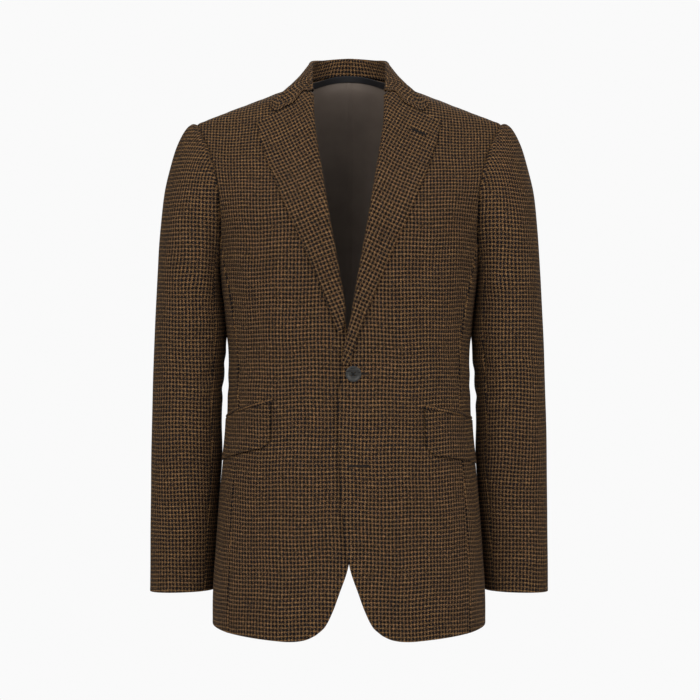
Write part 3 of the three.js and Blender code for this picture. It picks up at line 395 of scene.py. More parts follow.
# The button's thread: strands beside each other, their rise, the upper pair's, and the dive at the ends.
STITCH = dict(beside=(-0.34, 0.0, 0.34), rise=0.62, over=0.3, dive=1.6, dive_from=0.86, radius=0.19)
BUTTON_CORNERS = 72
HOLE_CORNERS = 20
# Faces of a button larger than this, in square metres, are its flat ends.
FLAT_FACE = 1e-5
HOLE_STITCH = dict(pitch=0.55, high=0.1, slit_top=0.12, slit_low=-0.35, slit_steps=12)

FLOOR_Z = -1.45
FLOOR_RADIUS = 3.4
WORLD_SEEN = 0.955
WORLD_LIGHT = 0.22
CAMERA = dict(x=0.001405, away=3.6, z=-0.3695, lens=131.76, sensor=36.0)
SIDES = ("left", "right")

radians = math.radians


def clamp01(value):
    return min(1.0, max(0.0, value))


def lerp(start, end, share):
    return start + (end - start) * share


def smooth(value):
    t = clamp01(value)
    return t * t * (3 - 2 * t)


def vec(*values):
    return np.array(values, float)


def unit(vector):
    size = math.sqrt(float(vector @ vector))
    return vector / size if size else vector


def read(rows, key, column, at):
    """One column of a table, read at any key by a smooth curve through its rows."""
    if rows[-1][key] < rows[0][key]:
        rows = rows[::-1]
    last = len(rows) - 1
    at = min(max(at, rows[0][key]), rows[last][key])
    low = 0
    while low < last - 1 and rows[low + 1][key] < at:
        low += 1

    def slope(row):
        before, after = rows[max(0, row - 1)], rows[min(last, row + 1)]
        return (after[column] - before[column]) / (after[key] - before[key])

    span = rows[low + 1][key] - rows[low][key]
    t = (at - rows[low][key]) / span
    start, end = rows[low][column], rows[low + 1][column]
    leave = t * (1 - t) * (1 - t) * span * slope(low)
    arrive = t * t * (t - 1) * span * slope(low + 1)
    return lerp(start, end, t * t * (3 - 2 * t)) + leave + arrive


def straight(rows, key, column, at):
    """One column of a table, read along straight lines between its rows."""
    row = 0
    while row < len(rows) - 2 and rows[row + 1][key] < at:
        row += 1
    low, high = rows[row], rows[row + 1]
    return lerp(low[column], high[column], (at - low[key]) / (high[key] - low[key]))


def path_through(points):
    rows = [dict(u=u, v=v, way=0.0) for u, v in points]
    for before, row in zip(rows, rows[1:]):
        row["way"] = before["way"] + math.hypot(row["u"] - before["u"], row["v"] - before["v"])
    total = rows[-1]["way"]
    return lambda share: (read(rows, "way", "u", share * total), read(rows, "way", "v", share * total))


# Body form.


def half_width(z):
    return read(BODY, "z", "half", z)


def ridge(x):
    return RIDGE_TOP - RIDGE_FALL * abs(x)


def upper_front(x, z):
    across = max(0.0, 1 - (abs(x) / CHEST["reach"]) ** CHEST["power"])
    down = clamp01((ridge(x) - z) / CHEST["drop"])
    full = (1 - (1 - down) ** CHEST["round"]) ** CHEST["ease"]
    return SIDE_Y - SEAM_HALF - CHEST["depth"] * math.sqrt(across) * full


def back_top(x):
    inside = max(0.0, 1 - (x / NECK_HALF) ** 2)
    z = ridge(max(abs(x), NECK_HALF)) + NECK_BACK["rise"] * inside
    return NECK_BACK["depth"] * inside ** NECK_BACK["round"], z, inside


def upper_back(x, z):
    depth, top, inside = back_top(x)
    across = max(0.0, 1 - (abs(x) / BLADES["reach"]) ** BLADES["power"])
    down = clamp01((top - z) / BLADES["drop"])
    full = (1 - (1 - down) ** BLADES["round"]) ** (BLADES["ease"] + BLADES["neck_ease"] * inside)
    neck = depth * (1 - full) * (1 - down) ** NECK_BACK["fade"]
    return SIDE_Y + SEAM_HALF + neck + BLADES["depth"] * math.sqrt(across) * full


def body_point(theta, z):
    """A point of the body: theta is 0 at the front, 90 at the side and 180 at the back."""
    sine = math.sin(radians(theta))
    x = half_width(z) * sine
    front = math.cos(radians(theta)) > 0
    share = max(0.0, 1 - abs(sine) ** SECTION_POWER) ** (1 / SECTION_POWER)
    if front:
        low = SIDE_Y - read(BODY, "z", "front", z) * share
    else:
        low = SIDE_Y + read(BODY, "z", "back", z) * share
    mix = smooth((z - BLEND["top"]) / (BLEND["bottom"] - BLEND["top"]))
    high = upper_front(x, z) if front else upper_back(x, z)
    return vec(x, lerp(high, low, mix), z)


def front_theta(x, z):
    return math.degrees(math.asin(max(-1.0, min(1.0, x / half_width(z)))))


def back_theta(x, z):
    return 180 - front_theta(x, z)


def under_drop(point):
    across = smooth((point[0] - LAP["far"]) / (LAP["near"] - LAP["far"]))
    down = smooth((point[2] - LAP["high"]) / (LAP["low"] - LAP["high"]))
    return LAP["drop"] * across * down


def sink(grid):
    """The wearer's right front lies under the left one where they cross."""
    moved = grid.copy()
    for at in np.ndindex(grid.shape[:2]):
        x, _, z = grid[at]
        moved[at][1] += under_drop((-x, 0, z))
    return moved


# Charts of the panels.


def patch(inner, outer, bottom, top, across, ups):
    """Chart points between four edges."""
    last = len(ups) - 1
    ends = (inner(0), inner(last), outer(0), outer(last))
    low_in, high_in, low_out, high_out = (np.array(end) for end in ends)
    bottoms = [np.array(bottom(c)) for c in range(len(across))]
    tops = [np.array(top(c)) for c in range(len(across))]
    made = np.zeros((len(ups), len(across), 2))
    for row, up in enumerate(ups):
        left, right = np.array(inner(row)), np.array(outer(row))
        for column, share in enumerate(across):
            sides = lerp(left, right, share)
            ends = lerp(bottoms[column], tops[column], up)
            corners = lerp(lerp(low_in, low_out, share), lerp(high_in, high_out, share), up)
            made[row, column] = sides + ends - corners
    return made


def chart_normal(at, toward):
    step = 0.002
    u = step if toward[0] == 0 else step * np.sign(toward[0])
    v = step if toward[1] == 0 else step * np.sign(toward[1])
    here = body_point(*at)
    along_u = body_point(at[0] + u, at[1]) - here
    along_v = body_point(at[0], at[1] + v) - here
    normal = unit(np.cross(unit(along_u), unit(along_v)))
    return normal if u * v > 0 else -normal


def body_skins(chart, high, low):
    """The chart's points on each side of the body form."""
    middle = chart[chart.shape[0] // 2][chart.shape[1] // 2]
    outer, inner = np.zeros((*chart.shape[:2], 3)), np.zeros((*chart.shape[:2], 3))
    for place in np.ndindex(chart.shape[:2]):
        at = chart[place]
        toward = [middle[0] - at[0] or 1, middle[1] - at[1] or 1]
        point, normal = body_point(*at), chart_normal(at, toward)
        outer[place], inner[place] = point + normal * high, point + normal * low
    return outer, inner


armhole_ways = []
for kind, value, z in ARMHOLE:
    theta = value if kind == "theta" else front_theta(value, z)
    armhole_ways.append(dict(theta=theta, z=z, way=0.0))
for before, row in zip(armhole_ways, armhole_ways[1:]):
    gap = body_point(row["theta"], row["z"]) - body_point(before["theta"], before["z"])
    row["way"] = before["way"] + float(np.linalg.norm(gap))
armhole_length = armhole_ways[-1]["way"]
junction_front = armhole_ways[ARMHOLE_SEAM["front"]]["way"] / armhole_length
junction_back = armhole_ways[ARMHOLE_SEAM["back"]]["way"] / armhole_length
armhole_knots = table(
    "at to",
    (0, 0),
    (ROUND[SEAM_COLUMN["front_side"]], junction_front),
    (ROUND[SEAM_COLUMN["back_side"]], junction_back),
    (1, 1),
)


def armhole_chart(column):
    way = straight(armhole_knots, "at", "to", ROUND[column]) * armhole_length
    return read(armhole_ways, "way", "theta", way), read(armhole_ways, "way", "z", way)


def evenly(count):
    return [step / count for step in range(count + 1)]


lower_shares = [s - ROW_EASE * math.sin(2 * math.pi * s) / (2 * math.pi) for s in evenly(LOWER_ROWS)]


def seam_point(seam, row, shift):
    z = lerp(seam[-1]["z"], seam[0]["z"], lower_shares[row])
    return read(seam, "z", "theta", z) + shift, z


def up_shares(points):
    ways = [0.0]
    for before, point in zip(points, points[1:]):
        ways.append(ways[-1] + float(np.linalg.norm(body_point(*point) - body_point(*before))))
    return [way / ways[-1] for way in ways]


def front_chart():
    outer = [seam_point(FRONT_SEAM, row, -SEAM_ANGLE) for row in range(LOWER_ROWS + 1)]
    outer += [armhole_chart(column) for column in range(SEAM_COLUMN["front_side"] - 1, -1, -1)]
    ups = up_shares(outer)
    rolled = [(row["x"] + row["roll"], row["z"]) for row in FRONT_EDGE]
    edge = path_through(rolled + [(row["x"], row["z"]) for row in NECK_EDGE])
    across = evenly(FRONT_COLUMNS)
    hem = path_through([(front_theta(row["x"], row["z"]), row["z"] * HEM_FALL) for row in FRONT_HEM])

    def inner(row):
        x, z = edge(ups[row] ** EDGE_CROWDING)
        return front_theta(x, z), z

    def bottom(column):
        theta, z = hem(across[column])
        return outer[0] if column == FRONT_COLUMNS else (theta, z / HEM_FALL)

    def top(column):
        x = lerp(NECK_HALF, SHOULDER_TIP, across[column])
        return outer[-1] if column == FRONT_COLUMNS else (front_theta(x, ridge(x)), ridge(x))

    return patch(inner, lambda row: outer[row], bottom, top, across, ups)


def side_chart():
    first, last = SEAM_COLUMN["front_side"], SEAM_COLUMN["back_side"]
    count = last - first
    across = evenly(count)
    start, end = seam_point(FRONT_SEAM, 0, SEAM_ANGLE), seam_point(BACK_SEAM, 0, -SEAM_ANGLE)

    def bottom(column):
        if column in (0, count):
            return end if column else start
        theta = lerp(start[0], end[0], across[column])
        return theta, read(BACK_HEM, "theta", "z", theta)

    def top(column):
        theta, z = armhole_chart(first + column)
        return theta + (SEAM_ANGLE if column == 0 else -SEAM_ANGLE if column == count else 0), z

    return patch(
        lambda row: seam_point(FRONT_SEAM, row, SEAM_ANGLE),
        lambda row: seam_point(BACK_SEAM, row, -SEAM_ANGLE),
        bottom,
        top,
        across,
        lower_shares,
    )


def vent_half(z):
    share = clamp01((VENT["top"] - z) / (VENT["top"] - BACK_HEM[4]["z"]))
    return SEAM_HALF + VENT["half"] * share ** VENT["power"]


def back_chart():
    outer = [seam_point(BACK_SEAM, row, SEAM_ANGLE) for row in range(LOWER_ROWS + 1)]
    outer += [armhole_chart(column) for column in range(SEAM_COLUMN["back_side"] + 1, len(ROUND))]
    ups = up_shares(outer)
    across = [(x - SEAM_HALF) / (SHOULDER_TIP - SEAM_HALF) for x in BACK_COLUMNS]
    last = len(across) - 1

    def centre(row):
        z = lerp(BACK_HEM[4]["z"], back_top(0)[1], ups[row])
        return back_theta(vent_half(z), z), z

    def bottom(column):
        theta = lerp(centre(0)[0], outer[0][0], across[column])
        return theta, outer[0][1] if column == last else read(BACK_HEM, "theta", "z", theta)

    def top(column):
        x = BACK_COLUMNS[column]
        z = back_top(x)[1]
        return outer[-1] if column == last else (back_theta(x, z), z)

    return patch(centre, lambda row: outer[row], bottom, top, across, ups)


# Sleeves.

sleeve_rows = [dict(row, ring=ring) for ring, row in enumerate(SLEEVE)]


def ring_value(ring, column):
    return read(sleeve_rows, "ring", column, ring)


def ideal_ring(ring, share):
    angle = 2 * math.pi * share

    def curve(value):
        return math.copysign(abs(value) ** (2 / SLEEVE_POWER), value)

    out, forward = curve(math.cos(angle)), curve(math.sin(angle))
    x = lerp(ring_value(ring, "inX"), ring_value(ring, "outX"), (1 + out) / 2)
    z = lerp(ring_value(ring, "inZ"), ring_value(ring, "outZ"), (1 + out) / 2)
    return vec(x, ring_value(ring, "midY") - ring_value(ring, "deep") * forward, z)


def sleeve_point(ring, column):
    share = ROUND[column]
    start = ideal_ring(0, share)
    arm = body_point(*armhole_chart(column)) + vec(SLEEVE_CLEAR, 0, 0)
    stay = 1 - clamp01(ring_value(ring, "own"))
    return ideal_ring(ring, share) + (arm - start) * stay


def fold_depth(point, share):
    total = 0.0
    for fold in SLEEVE_FOLDS:
        along = (point[2] - fold["z"] - fold["slope"] * (share - fold["share"])) / fold["tall"]
        around = (share - fold["share"]) / fold["wide"]
        total += fold["depth"] * math.exp(-along * along - around * around)
    return total


def sleeve_panel(first, last):
    """Outer and inner skin of the sleeve's columns, and each column's share of the way round."""
    count, rings = len(ROUND) - 1, len(SLEEVE)
    columns = [(column + count) % count for column in range(first, last + 1)]
    points = np.array([[sleeve_point(ring, column) for column in range(count)] for ring in range(rings)])
    outer = np.zeros((rings, len(columns), 3))
    inner = outer.copy()
    for ring in range(rings):
        middle = (ideal_ring(ring, 0.25)[1] + ideal_ring(ring, 0.75)[1]) / 2
        halfway = [(ring_value(ring, "in" + axis) + ring_value(ring, "out" + axis)) / 2 for axis in "XZ"]
        centre = vec(halfway[0], middle, halfway[1])
        for place, column in enumerate(columns):
            here = points[ring, column]
            aside = points[ring, (column + 1) % count] - points[ring, (column - 1) % count]
            down = points[min(ring + 1, rings - 1), column] - points[max(ring - 1, 0), column]
            normal = unit(np.cross(unit(aside), unit(down)))
            out = normal if normal @ (here - centre) > 0 else -normal
            sunk = here - out * fold_depth(here, ROUND[column]) * smooth(ring / FOLD_RINGS)
            edge = 1 if place == 0 else -1 if place == len(columns) - 1 else 0
            outer[ring, place] = sunk + unit(aside) * SLEEVE_SEAM * edge
            inner[ring, place] = outer[ring, place] - out * SLEEVE_CLOTH
    shares = [ROUND[c % count] + (c // count) for c in range(first, last + 1)]
    return outer, inner, np.array(shares)


# Turned cloth.


def panel_skin(x, z):
    return body_point(front_theta(x, z), z)


def panel_normal(x, z):
    step = 0.4
    aside = panel_skin(x + step, z) - panel_skin(x - step, z)
    up = panel_skin(x, z + step) - panel_skin(x, z - step)
    return unit(np.cross(aside, up))


def turn_scale(z):
    return lerp(1, TURN["least"], smooth((TURN["lower"] - z) / TURN["over"]))


def lapel_chart(under):
    bottom_z = UNDER_LAPEL["end"] if under else LAPEL_EDGE[0]["z"]
    ups = evenly(LAPEL_ROWS)

    def roll_x(z):
        x = read(FRONT_EDGE, "z", "x", z) + read(FRONT_EDGE, "z", "roll", z)
        return x + (read(UNDER_APART, "z", "shift", min(z, UNDER_APART[0]["z"])) if under else 0)

    def edge_x(z):
        return read(LAPEL_EDGE, "z", "x", z)

    def inner(row):
        z = lerp(bottom_z, GORGE[0]["z"], ups[row])
        return (GORGE[0]["x"], GORGE[0]["z"]) if row == LAPEL_ROWS else (roll_x(z), z)

    def outer(row):
        z = lerp(bottom_z, GORGE[4]["z"], ups[row])
        return edge_x(z), z

    def bottom(column):
        return lerp(roll_x(bottom_z), edge_x(bottom_z), LAPEL_COLUMNS[column]), bottom_z

    def top(column):
        share = LAPEL_COLUMNS[column]
        return straight(GORGE, "share", "x", share), straight(GORGE, "share", "z", share)

    return patch(inner, outer, bottom, top, LAPEL_COLUMNS, ups)


def lapel_skins(under):
    chart = lapel_chart(under)
    outer, inner = [], []
    for row in chart:
        scale = turn_scale(row[0][1])
        start, normal, near = panel_skin(*row[0]), panel_normal(*row[0]), panel_skin(*row[1])
        raw = near - start
        aside = unit(raw - normal * (raw @ normal))
        radius = (TURN["fold"] * scale + CLOTH) / 2
        heart = TURN["fold"] * scale - radius
        lift = smooth((UNDER_LAPEL["lift_from"] - row[0][1]) / UNDER_LAPEL["lift_over"]) if under else 0

        def on_turn(angle, size):
            away = -TURN["gap"] - size * math.cos(radians(angle))
            return start + aside * away + normal * (heart + size * math.sin(radians(angle)))

        outside, inside = [], []
        for turn in FOLD_TURNS:
            share = (turn - FOLD_TURNS[0]) / (90 - FOLD_TURNS[0])
            angle = lerp(lerp(FOLD_TURNS[0], UNDER_LAPEL["turn"], lift), 90, share)
            outside.append(on_turn(angle, radius))
            inside.append(on_turn(angle, radius - CLOTH))
        for at in row:
            point, out = panel_skin(*at), panel_normal(*at)
            far = float(np.linalg.norm(point - start))
            rise = lerp(TURN["edge"], TURN["fold"] * scale, math.exp(-((far / TURN["reach"]) ** 2)))
            outside.append(point + out * rise)
            inside.append(point + out * (rise - CLOTH))
        outer.append(outside)
        inner.append(inside)
    outer, inner = np.array(outer), np.array(inner)
    return (sink(outer), sink(inner), chart) if under else (outer, inner, chart)


def collar_guide(way):
    at, side = abs(way), -1 if way < 0 else 1

    def point(part):
        x, y, z = (read(COLLAR, "way", part + axis, at) for axis in "XYZ")
        return vec(side * x, y, z)

    lean = radians(read(COLLAR, "way", "lean", at))
    return point("foot"), point("fold"), point("edge"), vec(0, -math.sin(lean), math.cos(lean)), side


def end_path(share, side):
    x, z, high = (straight(COLLAR_END, "share", column, share) for column in ("x", "z", "high"))
    point = panel_skin(x, z) + panel_normal(x, z) * high
    return vec(side * point[0], point[1], point[2])


def collar_section(way):
    foot, fold, edge, up, side = collar_guide(way)
    raw = edge - fold
    out = unit(raw - up * (raw @ up))
    turn = COLLAR_FOLD
    inside = fold - out * turn - up * turn

    def bend(angle):
        return fold + out * turn * math.sin(angle) + up * turn * (math.cos(angle) - 1)

    end = smooth((abs(way) - COLLAR_END_FROM) / (1 - COLLAR_END_FROM))
    section = [lerp(foot, inside, share) for share in STAND_SHARES]
    section += [bend(radians(angle)) for angle in ROLL_ANGLES]
    outside = bend(math.pi / 2)
    for share in LEAF_SHARES:
        bow = COLLAR_BOW * math.sin(math.pi * share) * (1 - end)
        bowed = lerp(outside, edge, share) + out * bow + up * bow * BOW_LIFT
        section.append(lerp(bowed, end_path(share, side), end))
    return section


def collar_skins():
    ways = []
    for station in range(-COLLAR_STATIONS, COLLAR_STATIONS + 1):
        share = abs(station) / COLLAR_STATIONS
        ways.append(np.sign(station) * (share + STATION_EASE * math.sin(math.pi * share)))
    grid = np.array([collar_section(way) for way in ways])
    return grid, grid + grid_normals(grid) * CLOTH


def grid_normals(grid):
    """Unit normals of a grid of points, by its own rows and columns."""
    aside, up = np.zeros_like(grid), np.zeros_like(grid)
    aside[:, 1:-1] = grid[:, 2:] - grid[:, :-2]
    aside[:, 0], aside[:, -1] = grid[:, 1] - grid[:, 0], grid[:, -1] - grid[:, -2]
    up[1:-1] = grid[2:] - grid[:-2]
    up[0], up[-1] = grid[1] - grid[0], grid[-1] - grid[-2]
    normal = np.cross(aside, up)
    return normal / np.maximum(np.linalg.norm(normal, axis=2, keepdims=True), 1e-12)


def flap_chart(spec):
    across = evenly(POCKET_COLUMNS)
    chart = np.zeros((FLAP["rows"] + 1, len(across), 2))
    for row, up in enumerate(evenly(FLAP["rows"])):
        for column, share in enumerate(across):
            z = lerp(spec["top_start"], spec["top_end"], share) - spec["depth"] * (1 - up)
            aside = max(0, 1 - share * POCKET_COLUMNS / FLAP["corner_columns"]) ** 2
            near = max(0, 1 - up * FLAP["corner_rows"])
            chart[row, column] = lerp(spec["start"], spec["end"], share), z + spec["corner"] * aside * near
    return chart


def jet_chart(spec):
    across = evenly(POCKET_COLUMNS)
    chart = np.zeros((2, len(across), 2))
    for row in (0, 1):
        for column, share in enumerate(across):
            theta = lerp(spec["start"] - JET["beyond"], spec["end"] + JET["beyond"] / 2, share)
            z = lerp(spec["top_start"], spec["top_end"], share) + JET["gap"] + JET["tall"] * row
            chart[row, column] = theta, z
    return chart


# Cloth coordinates: across the cloth and up the cloth, in millimetres, from the body's own lengths.

ARC_THETAS = np.arange(-20.0, 181.0, 2.0)
ARC_HEIGHTS = np.arange(-800.0, 41.0, 6.0)
body_map = np.array([[body_point(theta, z) for theta in ARC_THETAS] for z in ARC_HEIGHTS])
steps_across = np.linalg.norm(np.diff(body_map[:, :, :2], axis=1), axis=2)
arc_map = np.concatenate([np.zeros((len(ARC_HEIGHTS), 1)), np.cumsum(steps_across, axis=1)], axis=1)
steps_up = np.linalg.norm(np.diff(body_map, axis=0), axis=2)
drop_map = np.concatenate([np.zeros((1, len(ARC_THETAS))), np.cumsum(steps_up, axis=0)], axis=0)
drop_map -= drop_map[int((WAIST_Z - ARC_HEIGHTS[0]) / 6.0)]


def from_map(values, theta, z):
    column = (theta - ARC_THETAS[0]) / (ARC_THETAS[1] - ARC_THETAS[0])
    row = (z - ARC_HEIGHTS[0]) / (ARC_HEIGHTS[1] - ARC_HEIGHTS[0])
    column = min(max(column, 0.0), len(ARC_THETAS) - 1.001)
    row = min(max(row, 0.0), len(ARC_HEIGHTS) - 1.001)
    c, r = int(column), int(row)
    low = lerp(values[r, c], values[r, c + 1], column - c)
    high = lerp(values[r + 1, c], values[r + 1, c + 1], column - c)
    return lerp(low, high, row - r)


def cloth_point(theta, z, grain_theta):
    across = from_map(arc_map, theta, z) - from_map(arc_map, grain_theta, z)
    return across, from_map(drop_map, theta, z)


def front_cloth(theta, z):
    return cloth_point(theta, z, front_theta(GRAIN["front"], z))


def side_cloth(theta, z):
    return cloth_point(theta, z, 90.0)


def back_cloth(theta, z):
    return cloth_point(theta, z, back_theta(GRAIN["back"], z))


def chart_cloth(chart, place):
    return np.array([[place(*at) for at in row] for row in chart])


def turned(cloth, degrees):
    """The cloth's coordinates where the piece is cut at an angle to its grain."""
    c, s = math.cos(radians(degrees)), math.sin(radians(degrees))
    return np.stack([cloth[..., 0] * c - cloth[..., 1] * s, cloth[..., 0] * s + cloth[..., 1] * c], axis=-1)


def sleeve_cloth(outer):
    """Level lengths across below the armhole, and lengths level and up the surface above it."""
    rings, columns = outer.shape[:2]
    normal = grid_normals(outer)
    level = unit_rows(np.cross(normal, vec(0, 0, 1)))
    rise = np.cross(level, normal)
    rise *= np.sign(rise[..., 2:] + 1e-9)
    made = np.zeros((rings, columns, 2))
    across = np.sum((outer[:, 1:] - outer[:, :-1]) * unit_rows(level[:, 1:] + level[:, :-1]), axis=2)
    made[:, 1:, 0] = np.cumsum(across, axis=1)
    made[..., 0] -= made[:, columns // 2, 0][:, None]
    sign = np.sign(made[rings // 2, -1, 0])
    made[..., 0] *= sign
    base = int(np.argmin(np.abs(outer[:, columns // 2, 2] - GRAIN["sleeve"])))
    made[base, :, 1] = outer[base, :, 2]
    for way in (1, -1):
        ring = base
        while 0 <= ring + way < rings:
            step, upward = outer[ring + way] - outer[ring], unit_rows(rise[ring] + rise[ring + way])
            made[ring + way, :, 1] = made[ring, :, 1] + np.sum(step * upward, axis=1)
            if way < 0:
                beside = unit_rows(level[ring] + level[ring + way]) * sign
                made[ring + way, :, 0] = made[ring, :, 0] + np.sum(step * beside, axis=1)
            ring += way
    return made


def unit_rows(values):
    return values / np.maximum(np.linalg.norm(values, axis=-1, keepdims=True), 1e-9)


def grid_cloth(grid):
    """Lengths along the rows and along the columns of any grid."""
    along = np.linalg.norm(np.diff(grid, axis=1), axis=2)
    across = np.concatenate([np.zeros((grid.shape[0], 1)), np.cumsum(along, axis=1)], axis=1)
    steps = np.linalg.norm(np.diff(grid, axis=0), axis=2).mean(axis=1)
    up = np.concatenate([[0.0], np.cumsum(steps)])
    return np.stack([across, np.repeat(up[:, None], grid.shape[1], axis=1)], axis=-1)


# Fine grids.

EDGE_LINES = [0, 0.3, 0.8, 1.5, 2.4, 3.6, 4.6, 5.6, 7.0]


def weights(knots, at):
    """Weights that read a smooth curve through values at uneven knots."""
    count = len(knots)
    slopes = np.zeros((count, count))
    for i in range(count):
        a, b = max(0, i - 1), min(count - 1, i + 1)
        slopes[i, b] += 1 / (knots[b] - knots[a])
        slopes[i, a] -= 1 / (knots[b] - knots[a])
    made = np.zeros((len(at), count))
    for k, t in enumerate(at):
        i = int(np.clip(np.searchsorted(knots, t, "right") - 1, 0, count - 2))
        span = knots[i + 1] - knots[i]
        s = (t - knots[i]) / span
        rise = s * s * (3 - 2 * s)
        made[k, i] += 1 - rise
        made[k, i + 1] += rise
        made[k] += slopes[i] * span * s * (1 - s) ** 2 + slopes[i + 1] * span * s * s * (s - 1)
    return made


def knots_of(grid, axis):
    steps = np.linalg.norm(np.diff(grid, axis=axis), axis=2).mean(axis=1 - axis)
    return np.concatenate([[0.0], np.cumsum(np.maximum(steps, 0.02))])


def lines(total, step):
    """Places along a length: close together near both ends, even between."""
    if total < 2.4 * EDGE_LINES[-1]:
        near = [e for e in EDGE_LINES if e < total / 2 - 0.2]
        return np.array(near + [total / 2] + [total - e for e in reversed(near)])
    inner = total - 2 * EDGE_LINES[-1]
    count = max(1, round(inner / step))
    middle = [EDGE_LINES[-1] + inner * k / count for k in range(1, count)]
    return np.array(EDGE_LINES + middle + [total - e for e in reversed(EDGE_LINES)])


def refine(fields, step):
    """Each field read on a fine grid, spaced by the first one's lengths."""
    row_knots, column_knots = knots_of(fields[0], 0), knots_of(fields[0], 1)
    up = weights(row_knots, lines(row_knots[-1], step))
    across = weights(column_knots, lines(column_knots[-1], step))
    return [np.einsum("ra,abk,cb->rck", up, field, across) for field in fields]


def edge_distances(grid):
    """Distance of each point from the first and last row and the first and last column."""
    up = np.linalg.norm(np.diff(grid, axis=0), axis=2)
    up = np.concatenate([np.zeros((1, grid.shape[1])), np.cumsum(up, axis=0)], axis=0)
    across = np.linalg.norm(np.diff(grid, axis=1), axis=2)
    across = np.concatenate([np.zeros((grid.shape[0], 1)), np.cumsum(across, axis=1)], axis=1)
    return dict(bottom=up, top=up[-1:] - up, start=across, end=across[:, -1:] - across)


def bell(distance, width):
    return np.exp(-((distance / width) ** 2))


def round_off(distance, radius):
    near = np.clip(1 - distance / radius, 0, 1)
    return radius * (1 - np.sqrt(np.maximum(0, 1 - near * near)))


# What each kind of edge does to the outer skin: its rounding, its dip, the swell and the groove
# behind it, and how far it reaches out to meet the next piece.
EDGE_ROWS = table(
    "kind round dip dip_wide swell swell_at swell_wide groove reach",
    ("fold", 0.75, 0, 1, 0.22, 2.6, 1.8, 0.3, 0),
    ("hem", 0.75, 0, 1, 0.12, 3.0, 2.2, 0, 0),
    ("seam", 0.3, 0.8, 1.2, 0.22, 3.8, 2.4, 0, 0.5),
    ("hole", 0.3, 1.3, 1.4, 0.3, 4.2, 2.8, 0, 1.2),
    ("head", 0.2, 2.6, 1.9, 1.1, 8.0, 6.0, 0, 4.0),
    ("plain", 0.3, 0, 1, 0, 3, 2, 0, 0),
)
EDGE_KINDS = {row["kind"]: row for row in EDGE_ROWS}
GROOVE = dict(at=5.4, wide=0.9)
PUCKER = dict(deep=0.16, wide=7.0, at=2.5)
# How far the sleeve's head runs in under the armhole's edge, line by line.
TUCK = 2.6
TUCK_SHARES = (1.0, 0.9, 0.7, 0.4, 0.15)
WIDEN_SHARES = (1.0, 0.85, 0.6, 0.3)


def edges(words):
    """Kinds of the four edges of a piece."""
    return dict(zip(("start", "end", "bottom", "top"), words.split()))


def edge_relief(distances, kinds, along):
    """Lift of the outer skin, and how much both skins close toward each other at the edges."""
    lift, close, dip = 0.0, 0.0, 0.0
    for side, kind in kinds.items():
        spec, far = EDGE_KINDS[kind], distances[side]
        close = close + round_off(far, spec["round"])
        dip = np.maximum(dip, spec["dip"] * bell(far, spec["dip_wide"]))
        lift = lift + spec["swell"] * bell(far - spec["swell_at"], spec["swell_wide"])
        lift = lift - spec["groove"] * bell(far - GROOVE["at"], GROOVE["wide"])
        if kind in ("seam", "head"):
            run = along[..., 1] if side in ("start", "end") else along[..., 0]
            waves = np.sin(run / 3.1) * np.sin(run / 8.7 + 1.3) + 0.6 * np.sin(run / 5.3 + 0.4)
            lift = lift + PUCKER["deep"] * waves * bell(far - PUCKER["at"], PUCKER["wide"])
    return lift - dip, close


def creases(a, b, rows, key, scale=1.0):
    """Soft troughs, from rows of place, way, half length, half width and depth."""
    total = np.zeros(a.shape)
    for row in rows:
        c, s = math.cos(radians(row["way"])), math.sin(radians(row["way"]))
        da, db = a - row[key] * scale, b - row["z"]
        along, aside = (da * c + db * s) / row["long"], (db * c - da * s) / row["wide"]
        bend = aside + CREASE["bend"] * along * along
        trough = np.exp(-bend * bend) - CREASE["near"] * bell(bend - CREASE["near_at"], 1)
        trough -= CREASE["far"] * bell(bend + CREASE["far_at"], 1)
        total -= row["deep"] * trough * np.exp(-(along**4)) * (1 - CREASE["lean"] * along)
    return total


def unevenness(cloth, seed):
    """Slow waves of handled cloth."""
    u, v = cloth[..., 0], cloth[..., 1]
    waves = np.sin(u / 19 + seed + 0.7 * np.sin(v / 41)) * np.sin(v / 27 + 2 * seed)
    waves = waves + 0.7 * np.sin(u / 11 + 1.7 * seed + 0.5 * np.sin(v / 23)) * np.sin(v / 61 + seed)
    return 0.22 * waves


def wander(cloth, seed):
    """The check's lines waver a little, as woven cloth does once it is pressed into shape."""
    u, v = cloth[..., 0], cloth[..., 1]
    du = 0.8 * np.sin(v / 38 + seed) + 0.55 * np.sin(v / 15 + u / 44 + 2.1 * seed)
    dv = 0.9 * np.sin(u / 33 + 1.3 * seed) + 0.7 * np.sin(u / 13 + v / 52 + 0.7 * seed)
    return cloth + np.stack([du, dv], axis=-1)


# Meshes.


def make_object(name, points, faces, materials, cloth=None, face_materials=None):
    mesh = bpy.data.meshes.new(name)
    mesh.from_pydata([tuple(p) for p in np.asarray(points) * MM], [], faces)
    mesh.update()
    for material in materials:
        mesh.materials.append(material)
    if cloth is not None:
        loops = np.zeros(len(mesh.loops), np.int32)
        mesh.loops.foreach_get("vertex_index", loops)
        layer = mesh.uv_layers.new(name="cloth")
        layer.data.foreach_set("uv", (np.asarray(cloth)[loops] * MM).astype(np.float32).ravel())
    if face_materials is not None:
        mesh.polygons.foreach_set("material_index", np.asarray(face_materials, np.int32))
    mesh.polygons.foreach_set("use_smooth", np.full(len(mesh.polygons), True))
    piece = bpy.data.objects.new(name, mesh)
    bpy.context.scene.collection.objects.link(piece)
    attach(piece, "root")
    return piece


